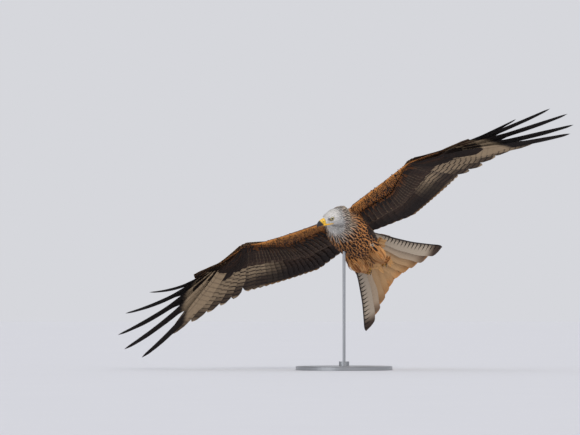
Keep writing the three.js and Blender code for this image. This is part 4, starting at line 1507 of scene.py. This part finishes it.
@dataclass
class WingPlumage:
    """Feathers of one wing: primaries, secondaries, tertials, and the rows of coverts above and below.

    From the tip inwards come the notched feathers with black ends, then the pale ones of the window up to
    last_pale, then the dark inner ones.
    """

    wing: Wing
    vane_grid: Grid
    covert_grid: Grid
    seed: int
    notched: int = 5
    last_pale: int = 12

    def remex_colours(self, place: int, chance: np.random.Generator) -> Colouring:
        """Returns the colouring of a flight feather by its place in the row, 0 being the outermost."""
        shade = 1 + chance.normal(0, 0.05)
        start = 0.2 + 0.07 * place + chance.normal(0, 0.01)

        def colour(layer: Layer, grid: Grid) -> Colours:
            """Returns one face's colours."""
            u, v = grid.u, grid.v
            if layer is Layer.UPPER:
                ground = blend(Tone.UMBER, Tone.SOOT, smooth(0.1, 0.7, v))
                if place < self.notched:
                    ground = blend(ground, Tone.BLACK, smooth(0.2, 0.45, v))
                bars, rim = 0.35 * (place > 4), 0.3 * (place > 3)
                return per_point(grid, ground * shade, Tone.TAN * 0.8, 0.25, bars, rim)
            if place < self.notched:
                black = smooth(start, start + 0.05, v + 0.05 * u)
                ground = blend(Tone.BUFF * 0.54, Tone.BLACK * 0.8, black)
                bars = 0.3 * smooth(start, start - 0.2, v)
                return per_point(grid, ground * shade, Tone.BLACK, 0.0, bars, 0.0)
            if place <= self.last_pale:
                far = (place - 5) / 7
                dusk = smooth(0.72 - 0.2 * far, 0.9 - 0.14 * far, v) * (0.75 + 0.2 * far)
                ground = layered(
                    blend(Tone.BUFF * 0.58, Tone.BUFF * 0.52, far),
                    (Tone.SLATE * 0.8, smooth(0.0, 0.3, u) * 0.55),
                    (Tone.SOOT * 0.8, dusk * smooth(1.0, 0.94, v + 0.02 * far)),
                )
                bars = (0.6 + 0.4 * smooth(0.05, 0.5, far)) * smooth(0.2, 0.35, v)
                return per_point(grid, ground * shade, Tone.BUFF * 0.85, 0.0, bars, 0.45 + 0.45 * far)
            far = min(1.0, (place - self.last_pale) / 5)
            ground = layered(
                blend(Tone.BUFF * 0.42, Tone.UMBER * 0.55, far),
                (Tone.BLACK * 1.1, smooth(0.5, 0.78, v) * 0.85),
                (Tone.BLACK, smooth(-0.1, 0.3, u) * 0.7),
            )
            return per_point(grid, ground * shade, Tone.TAN * 0.85, 0.0, 0.7 - 0.1 * far, 0.9 - 0.35 * far)

        return colour

    def covert_colours(self, row: CovertRow, place: float, chance: np.random.Generator) -> Colouring:
        """Returns the colouring of a row's covert at a place along the flight feathers."""
        shade = 1 + chance.normal(0, 0.09)
        hand = smooth(10.5, 8.5, place)
        rufous = 0.8 * (chance.random() < (0.04, 0.2, 0.4)[row.rank])

        def colour(layer: Layer, grid: Grid) -> Colours:
            """Returns the colours."""
            if row.above:
                tone = blend(Tone.UMBER, Tone.BUFF * 0.75, (1 - hand) * (0.35 + 0.15 * row.rank))
                return per_point(grid, tone * shade, Tone.TAN, 0.45, 0.0, 0.6)
            tone = layered(
                (Tone.UMBER * 0.7, Tone.SOOT * 0.45, Tone.SOOT * 0.5)[row.rank],
                (Tone.SOOT * 0.5, hand),
                (Tone.RUFOUS * 0.45, rufous * (1 - hand)),
            )
            ground = layered(
                tone * 0.7,
                (tone, smooth(0.55, 0.85, grid.v)),
                (tone * 0.5, smooth(0.1, 0.5, grid.u) * 0.12),
            )
            rim = (0.5, 0.45, 0.7)[row.rank] * (1 - 0.8 * hand)
            edge = (Tone.BUFF * 0.4, Tone.RUFOUS * 0.5, Tone.RUFOUS * 0.9)[row.rank]
            return per_point(grid, ground * shade, edge, 0.1, 0.5 if row.rank == 0 else 0.0, rim)

        return colour

    def thickness(self, place: float) -> float:
        """Returns how thick the arm is at a place along the flight feathers."""
        return float(np.interp(place, [0, 9.5, 22.5, 28], [6.5, 13.5, 20, 29]))

    def covert(self, row: CovertRow, place: float, chance: np.random.Generator) -> Vane:
        """Returns a row's covert at a place along the flight feathers.

        Under the fingers it lies flat and clear of them and is longer, so that the dark patch of the
        primary coverts shows; under the two outermost it is short.
        """
        vane = between(self.wing.vanes, place)
        sign = 1 if row.above else -1
        thick = self.thickness(place)
        flat = 0.0 if row.above else smooth(8, 6.5, place)
        lift = sign * (1.8 + (0.36 if row.rank == 0 else 0.4) * thick + 0.5 * row.rank + 3.0 * flat)
        vane.root = vane.root + vane.upper * lift - vane.aim * (row.forward * min(1.0, thick / 15))
        pitch = math.radians(1.4 + 1.2 * row.rank + 0.09 * thick) * (1 - 0.8 * flat)
        vane.aim = unit(vane.aim - vane.upper * sign * math.tan(pitch))
        vane.length = (row.base + row.share * vane.length) * (1 + chance.normal(0, 0.04))
        if not row.above:
            vane.length *= 1 + 0.35 * smooth(6.5, 5, place) - 0.85 * smooth(2.4, 1.4, place)
        vane.width = row.width
        vane.tilt = 5 if row.above else 6
        return vane

    def make(self, material: bpy.types.Material) -> bpy.types.Object:
        """Returns the wing's flight feathers and coverts as one piece."""
        vanes = self.wing.vanes
        coat = FlightCoat("plumage_" + self.wing.name, self.seed, 2 * len(vanes) + WING_STRIPS)
        chance = coat.chance
        for place, vane in enumerate(vanes):
            coat.add(vane, self.vane_grid, self.remex_colours(place, chance), tuple(Layer))
        for row in COVERT_ROWS:
            layers = (Layer.UPPER if row.above else Layer.LOWER,)
            for i in range(row.count):
                place = (len(vanes) - 1) * (i + 0.5 + chance.normal(0, 0.08)) / row.count
                vane = self.covert(row, place, chance)
                coat.add(vane, self.covert_grid, self.covert_colours(row, place, chance), layers)
        return coat.plumes.make(material)


@dataclass
class TailPlumage:
    """The tail's feathers and the coverts above and below its base.

    Each row of coverts has how far behind the roots it grows, its length, and how many feathers of the
    tail it reaches to either side.
    """

    vane_grid: Grid
    covert_grid: Grid
    seed: int
    rows: Rows = ((48, 84, 5.2), (30, 74, 4.7), (12, 66, 4.2), (-4, 60, 3.4))
    row_count: int = 15
    upper_depth: float = 9.5
    lower_depth: float = 11.5
    covert_width: float = 19.0
    covert_tilt: float = 6.0

    def rectrix_colours(self, rank: int, chance: np.random.Generator) -> Colouring:
        """Returns the colouring of a tail feather by its rank, 0 being the central pair."""
        outer = rank / 5
        shade = 1 + chance.normal(0, 0.04)

        def colour(layer: Layer, grid: Grid) -> Colours:
            """Returns one face's colours."""
            u, v = grid.u, grid.v
            tip = smooth(0.8, 0.93, v)
            if layer is Layer.UPPER:
                ground = blend(Tone.RUFOUS * 1.1, Tone.SOOT, tip * (0.2 + 0.7 * outer))
                return per_point(grid, ground * shade, Tone.TAN, 0.0, 0.3, 0.35)
            pale = blend(Tone.TAN, Tone.BUFF, 0.2) * 0.85
            spot = smooth(0.84, 0.9, v) * smooth(0.97, 0.93, v) * smooth(-0.5, -0.1, u) * smooth(0.5, 0.1, u)
            ground = layered(
                blend(pale, Tone.TAIL_GREY * 0.9, smooth(0.5, 0.95, outer)),
                (Tone.ORANGE, smooth(0.78, 0.98, v) * (1 - 0.7 * outer) * 0.65),
                (Tone.SLATE, smooth(0.0, 0.25, u) * smooth(1.0, 0.85, v) * 0.35),
                (Tone.SOOT, tip * outer**2 * 0.95),
                (Tone.SOOT, spot * (0.25 if rank in (0, 5) else 0.75)),
                (Tone.BLACK, smooth(0.25, 0.6, u) * max(0.0, 2 * outer - 1) * 0.9),
            )
            near_shaft = smooth(-0.5, -0.3, u) * smooth(0.9, 0.5, u)
            bars = max(0.0, 2.6 * outer - 1.5) * smooth(0.12, 0.25, v) * near_shaft
            return per_point(grid, ground * shade, Tone.ORANGE, 0.0, bars, 0.95 * (1 - outer**3))

        return colour

    def coverts(self, coat: FlightCoat, above: bool) -> None:
        """Adds the coverts above or below the tail's base, from the rearmost row forward."""
        sign = 1 if above else -1
        deep = self.upper_depth if above else self.lower_depth
        middle = (len(TAIL.vanes) - 1) / 2
        for row, (back, length, wide) in enumerate(self.rows):
            for i in range(self.row_count):
                aside = (2 * i + 1) / self.row_count - 1
                off = (wide if above else 0.8 * wide) * aside
                vane = between(TAIL.vanes, middle + off)
                height = deep * math.sqrt(max(0.0, 1 - (off / 6.2) ** 2)) * (1 - 0.1 * row) + 1.2 + row
                vane.root = vane.root + vane.aim * back + vane.upper * (sign * height)
                vane.aim = unit(vane.aim - vane.upper * sign * (0.05 + 0.008 * height))
                vane.length = length * (1 + coat.chance.normal(0, 0.1)) * (1 - 0.35 * aside**2)
                vane.width, vane.tilt = self.covert_width, self.covert_tilt
                golden = blend(Tone.ORANGE, Tone.TAN, coat.chance.random())
                golden = blend(golden, Tone.CHESTNUT, 0.12 * row) * 0.92
                shade = (Tone.RUFOUS if above else golden) * (1 + coat.chance.normal(0, 0.07))

                def colour(layer: Layer, grid: Grid, shade: np.ndarray = shade) -> Colours:
                    """Returns the colours."""
                    return per_point(grid, shade, Tone.BUFF, 0.1, 0.0, 0.4)

                coat.add(vane, self.covert_grid, colour, (Layer.UPPER if above else Layer.LOWER,))

    def make(self, material: bpy.types.Material) -> bpy.types.Object:
        """Returns the tail's feathers as one piece."""
        coat = FlightCoat("plumage_tail", self.seed, 2 * len(TAIL.vanes) + TAIL_STRIPS)
        for i, vane in enumerate(TAIL.vanes):
            rank = 5 - i if i < 6 else i - 6
            coat.add(vane, self.vane_grid, self.rectrix_colours(rank, coat.chance), tuple(Layer))
        self.coverts(coat, True)
        self.coverts(coat, False)
        return coat.plumes.make(material)


def tube(name: str, path: np.ndarray, radii: np.ndarray, closed: bool, sides: int = 12) -> bpy.types.Mesh:
    """Returns a round tube along a path.

    Args:
        name: of the mesh.
        path: points of the bird's frame.
        radii: of the tube at each.
        closed: whether the path comes back to its start.
        sides: of its section.

    Returns:
        The tube's mesh.
    """
    shape = bmesh.new()
    count = len(path)
    turn = np.linspace(0, 2 * math.pi, sides, endpoint=False)
    rings = []
    for i, (point, radius) in enumerate(zip(path, radii)):
        ahead = path[(i + 1) % count] if closed else path[min(i + 1, count - 1)]
        behind = path[i - 1] if closed or i else path[0]
        along = unit(ahead - behind)
        side = unit(np.cross(along, HEAD.turned @ np.array([0.3, 0.2, 1.0])))
        up = np.cross(along, side)
        rings.append(point + radius * (np.outer(np.cos(turn), side) + np.outer(np.sin(turn), up)))
    if closed:
        rings.append(rings[0])
    loft(rings, shape)
    bmesh.ops.remove_doubles(shape, verts=shape.verts, dist=1e-6)
    bmesh.ops.recalc_face_normals(shape, faces=shape.faces)
    mesh = meshed(shape, name)
    write(mesh, "DarkTipAndNostrilShade", np.zeros((len(mesh.vertices), 1)))
    mesh.shade_smooth()
    return mesh


@dataclass
class HeadParts:
    """Eyes, lids, gape, cere and bill.

    Each row of the skull has its place ahead, the height of its middle, and its half width and heights above
    and below; the mouth's rows have their places ahead and up; the nostril row gives the centre and radii of
    the painted shade that stands for the nostril openings.
    """

    skull: Rows = (
        (-36, 1, 12, 12, 13), (-27, 1, 22, 20, 23), (-12, 1.5, 27, 25, 27),
        (4, 1.5, 26.5, 24, 25), (16, 0.5, 23, 20.5, 20), (26, -2, 17.5, 16.5, 16),
        (34, -4, 12, 12.5, 12.5), (39, -4.5, 9, 10.6, 10.6),
    )
    mouth: Rows = ((13, -14), (24, -13), (36, -12.6), (42, -12.8))
    nostril: Rows = ((41, 0, -2.2), (1.7, math.inf, 1.0))
    iris_angle: float = 62.0
    cornea: float = 0.1
    lid_ring: float = 6.5
    lid_tube: float = 1.0
    lid_points: int = 40
    lid_lift: float = 3.6

    def eye(self, side: int, material: bpy.types.Material) -> bpy.types.Object:
        """Returns one eyeball, its iris facing outwards."""
        shape = bmesh.new()
        bmesh.ops.create_uvsphere(shape, u_segments=48, v_segments=32, radius=EYEBALL_RADIUS)
        outward = Vector(unit(mirrored(EYE_OUTWARD, side)))
        turn = np.array(Vector((0, 0, 1)).rotation_difference(outward).to_matrix())
        local = np.array([vert.co for vert in shape.verts])
        mesh = meshed(shape, "eyeball_" + side_name(side))
        off = np.arccos(np.clip(local[:, 2] / EYEBALL_RADIUS, -1, 1)) / math.radians(self.iris_angle)
        bulge = 1 + self.cornea * smooth(0.95, 0.3, off)
        store(mesh, HEAD.out(mirrored(EYE, side) + (local * bulge[:, None]) @ turn.T))
        write(mesh, "Iris", off[:, None])
        write(mesh, "Ray", np.arctan2(local[:, 1:2], local[:, :1]))
        mesh.shade_smooth()
        return placed(mesh, material)

    def lid(self, side: int, material: bpy.types.Material) -> bpy.types.Object:
        """Returns the bare rim round one eye, flattened above by the brow."""
        turn = np.linspace(0, 2 * math.pi, self.lid_points, endpoint=False)
        outward = unit(mirrored(EYE_OUTWARD, side))
        ahead = unit(np.cross(outward, [0, 0, 1.0]) * side * -1)
        up = unit(np.cross(outward, ahead))
        up = up if up[2] > 0 else -up
        high = np.where(np.sin(turn) > 0, 0.78, 0.92) * np.sin(turn) * self.lid_ring * 0.92
        centre = mirrored(EYE, side) + outward * self.lid_lift
        path = centre + np.outer(np.cos(turn) * self.lid_ring * 1.02, ahead) + np.outer(high, up)
        radii = np.full(self.lid_points, self.lid_tube)
        return placed(tube("lid_" + side_name(side), HEAD.out(path), radii, True), material)

    def gape(self, side: int, material: bpy.types.Material) -> bpy.types.Object:
        """Returns the yellow edge of the mouth from the cere back to under the eye."""
        fine = np.linspace(0, 1, 24)
        steps = np.linspace(0, 1, len(self.mouth))
        x, z = (np.interp(fine, steps, row) for row in zip(*self.mouth))
        table = np.array(self.skull, float)
        mid, half, below = (np.interp(x, table[:, 0], table[:, i]) for i in (1, 2, 4))
        drop = np.clip((mid - z) / below, 0, 0.97)
        path = np.stack([x, side * half * np.sqrt(1 - drop**2), z], 1)
        radii = 0.8 + 2.1 * np.sin(clamp(fine * 0.8 + 0.08) * math.pi / 1.7)
        return placed(tube("gape_" + side_name(side), HEAD.out(path), radii, False), material)

    def bill(self, node: str, name: str, voxel: float, material: bpy.types.Material) -> bpy.types.Object:
        """Returns a smooth piece over a node of the bill, dark towards the tip, with painted shade at the
        nostrils in place of openings.
        """
        mesh = remeshed(node_shape(node), name, voxel, 5)
        points, _ = points_of(mesh)
        local = HEAD.into(points)
        tip = smooth(44.0, 49.5, local[:, 0] - 0.6 * (local[:, 2] + 3))
        # Painted shade of the nostril openings: a dark spot on the bill with no hole under it.
        nostril_shade = smooth(1.15, 0.85, reach_of(local, *self.nostril))
        write(mesh, "DarkTipAndNostrilShade", np.maximum(tip, nostril_shade)[:, None])
        mesh.shade_smooth()
        return placed(mesh, material)


@dataclass
class Foot:
    """Drawn-up foot: scaly shank and toes, and four black claws."""

    side: int
    ankle: tuple[float, float, float] = (-172, 27, -46)
    shank: float = 14.0
    toes: Rows = ((26, 24, 62), (2, 28, 58), (-22, 23, 62), (6, 15, -70))
    claw_length: float = 13.0

    def ends(self) -> list[tuple[np.ndarray, np.ndarray, np.ndarray]]:
        """Returns the last joint, the end and the claw's tip of each toe."""
        x, y, z = self.ankle
        knuckles = np.array([x - self.shank, self.side * y, z + 1])
        found = []
        for spread, length, curl in self.toes:
            bend, out = math.radians(curl), math.radians(180 - self.side * spread)
            joints = [knuckles]
            for share in (0.4, 0.75, 1):
                joints.append(joints[-1] + self.step(out, bend * share, length * 0.36))
            tip = joints[-1] + self.step(out, bend * 1.9, self.claw_length)
            found.append((joints[-2], joints[-1], tip))
        return found

    def step(self, out: float, down: float, length: float) -> np.ndarray:
        """Returns a step of a length in a direction, given by its heading and its slope in radians."""
        reach = math.cos(down) * length
        return np.array([math.cos(out) * reach, math.sin(out) * reach, -math.sin(down) * length])

    def skin(self, material: bpy.types.Material) -> bpy.types.Object:
        """Returns the shank and toes as one smooth scaly piece."""
        name = side_name(self.side)
        mesh = remeshed(node_shape("foot_" + name), "toes_" + name, 0.0007, 6)
        write(mesh, "DarkTipAndNostrilShade", np.zeros((len(mesh.vertices), 1)))
        mesh.shade_smooth()
        return placed(mesh, material)

    def claws(self, material: bpy.types.Material) -> bpy.types.Object:
        """Returns the four hooked claws as one piece over the toes' ends."""
        shape = bmesh.new()
        for joint, base, tip in self.ends():
            toe = unit(base - joint)
            arch = 0.28 * np.linalg.norm(tip - base)
            share = np.linspace(-0.1, 1, 12)[:, None]
            line = base + (tip - base) * share + toe * (arch * np.sin(clamp(share) * math.pi))
            taper = np.interp(share[:, 0], [-0.1, 0, 0.15, 1], [1.6, 2.2, 2.15, 0.25])
            mesh = tube("claw", line, taper, False, 10)
            shape.from_mesh(mesh)
            bpy.data.meshes.remove(mesh)
        joined = meshed(shape, "claws_" + side_name(self.side))
        joined.shade_smooth()
        return placed(joined, material)


@dataclass(frozen=True)
class Lamp:
    """One even light from far away, softened over an angle in degrees."""

    name: str
    place: tuple[float, float, float]
    spread: float
    power: float
    tint: tuple[float, float, float]

    def hang(self) -> None:
        """Adds the light, aimed at the kite."""
        lamp = bpy.data.lights.new(self.name, "SUN")
        lamp.angle = math.radians(self.spread)
        lamp.energy = self.power
        lamp.color = self.tint
        holder = bpy.data.objects.new(self.name, lamp)
        holder.location = self.place
        aim = Vector((0, 0, 0.45)) - Vector(self.place)
        holder.rotation_euler = aim.to_track_quat("-Z", "Y").to_euler()
        bpy.context.scene.collection.objects.link(holder)


@dataclass
class Studio:
    """Pale floor, soft lights and the camera of the photograph."""

    floor_radius: float = 14.0
    pale: tuple[float, float, float] = tuple(srgb(214, 215, 220))
    worn: tuple[float, float, float] = tuple(srgb(208, 209, 214))
    lamps: tuple[Lamp, ...] = (
        Lamp("key", (1.6, -3.0, 3.4), 24, 1.5, (1.0, 0.97, 0.92)),
        Lamp("fill", (-3.0, -3.4, 1.0), 40, 0.5, (0.96, 0.98, 1.0)),
    )

    def floor(self) -> bpy.types.Object:
        """Returns the floor."""
        shape = bmesh.new()
        bmesh.ops.create_circle(shape, cap_ends=True, segments=96, radius=self.floor_radius)
        bmesh.ops.translate(shape, verts=shape.verts, vec=(0, 0, -0.0005))
        shader = Shader("floor", 0.9, 0.1)
        shader.colour(shader.mix(np.array(self.pale), np.array(self.worn), shader.noise(3.0, 4.0) * 0.5))
        piece = placed(meshed(shape, "floor"), shader.material)
        return piece

    def lights(self) -> None:
        """Adds the soft world and the lights."""
        world = bpy.data.worlds.new("studio")
        world.use_nodes = True
        background = world.node_tree.nodes["Background"]
        background.inputs["Color"].default_value = (*self.pale, 1)
        background.inputs["Strength"].default_value = 1.0
        bpy.context.scene.world = world
        for lamp in self.lamps:
            lamp.hang()
        bpy.context.scene.view_settings.view_transform = "Standard"

    def camera(self) -> None:
        """Makes the camera."""
        lens = bpy.data.cameras.new("camera")
        lens.sensor_width = SENSOR
        lens.lens = SENSOR * VIEW_DISTANCE / VIEW_WIDTH
        lens.clip_start, lens.clip_end = 1.0, 100.0
        holder = bpy.data.objects.new("camera", lens)
        x, y, z = VIEW_AIM
        holder.location = (x, y - VIEW_DISTANCE, z)
        holder.rotation_euler = (math.pi / 2, 0, 0)
        bpy.context.scene.collection.objects.link(holder)
        bpy.context.scene.camera = holder


def wax(name: str, tone: np.ndarray, deep: np.ndarray, roughness: float, **rest: float) -> WaxFinish:
    """Returns the finish of bare skin, horn or claw by its two tones."""
    return WaxFinish(name, tuple(tone), tuple(deep), roughness, **rest)


YELLOW = wax("yellow_skin", srgb(228, 178, 44), srgb(170, 120, 30), 0.42, grain=1400.0, depth=0.00025)
# The deep tone is the bill's dark tip, and also the painted shade of the nostrils.
BILL = wax("bill_horn", srgb(232, 184, 48), srgb(34, 32, 36), 0.34, depth=0.0001, coat=0.2, mottle=0.06)
CLAW = wax("claw_horn", srgb(34, 32, 34), srgb(14, 13, 15), 0.3, depth=0.00006, coat=0.3)
LID = wax("lid_skin", srgb(120, 104, 74), srgb(50, 46, 44), 0.5, grain=1600.0, depth=0.0001)
BILL_PIECES = (
    ("cere", "cere_skin", 0.0006, "yellow_skin"),
    ("bill_upper", "upper_bill", 0.0005, "horn"),
    ("bill_lower", "lower_bill", 0.0004, "horn"),
)
SKINNED = ("torso", "neck", "head", "leg_left", "leg_right", "wing_left", "wing_right", "tail")
STAND = ("stand_base", "stand_collar", "stand_rod")


def own(piece: bpy.types.Object, nodes: Sequence[str] = ()) -> bpy.types.Object:
    """Rides a piece on the part and the nodes that it stands for, and reports it."""
    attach(piece, "root")
    if nodes:
        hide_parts(*nodes)
    LOG.info("%s: %d faces", piece.name, len(piece.data.polygons))
    return piece


def main() -> None:
    """Builds the kite over its solids, then the studio round it."""
    logging.basicConfig(level=logging.INFO, format="%(message)s")
    plumage = PlumageFinish("plumage").make()
    markings = Markings(SEED)
    skin = Skin().make(HideFinish().make(), markings)
    own(skin, SKINNED)

    coat = Coat(skin, markings, SEED + 1)
    head = coat.parts.head[coat.roots] > 0.5
    arm = coat.parts.arm[coat.roots] > 0.5
    own(coat.make("coat_head", head, Grid(*HEAD_GRID), plumage))
    own(coat.make("coat_body", ~head & ~arm, Grid(*BODY_GRID), plumage))
    own(coat.make("coat_arms", arm, Grid(*ARM_GRID), plumage))

    covert = Grid(*COVERT_GRID)
    for i, wing in enumerate(WINGS):
        own(WingPlumage(wing, Grid(*REMEX_GRID), covert, SEED + 2 + i).make(plumage))
    own(TailPlumage(Grid(*RECTRIX_GRID), covert, SEED + 5).make(plumage))

    parts = HeadParts()
    eye, lid, yellow, horn, claw = (finish.make() for finish in (EyeFinish(), LID, YELLOW, BILL, CLAW))
    for side in SIDES:
        own(parts.eye(side, eye), ("eye_" + side_name(side),))
        own(parts.lid(side, lid))
        own(parts.gape(side, yellow))
    for node, name, voxel, slot in BILL_PIECES:
        own(parts.bill(node, name, voxel, horn), (node,))
    for side in SIDES:
        foot = Foot(side)
        own(foot.skin(yellow), ("foot_" + side_name(side),))
        own(foot.claws(claw))

    steel = SteelFinish().make()
    for node in STAND:
        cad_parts[node].data.materials.clear()
        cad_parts[node].data.materials.append(steel)

    studio = Studio()
    studio.floor()
    studio.lights()
    studio.camera()


if __name__ == "__main__":
    main()
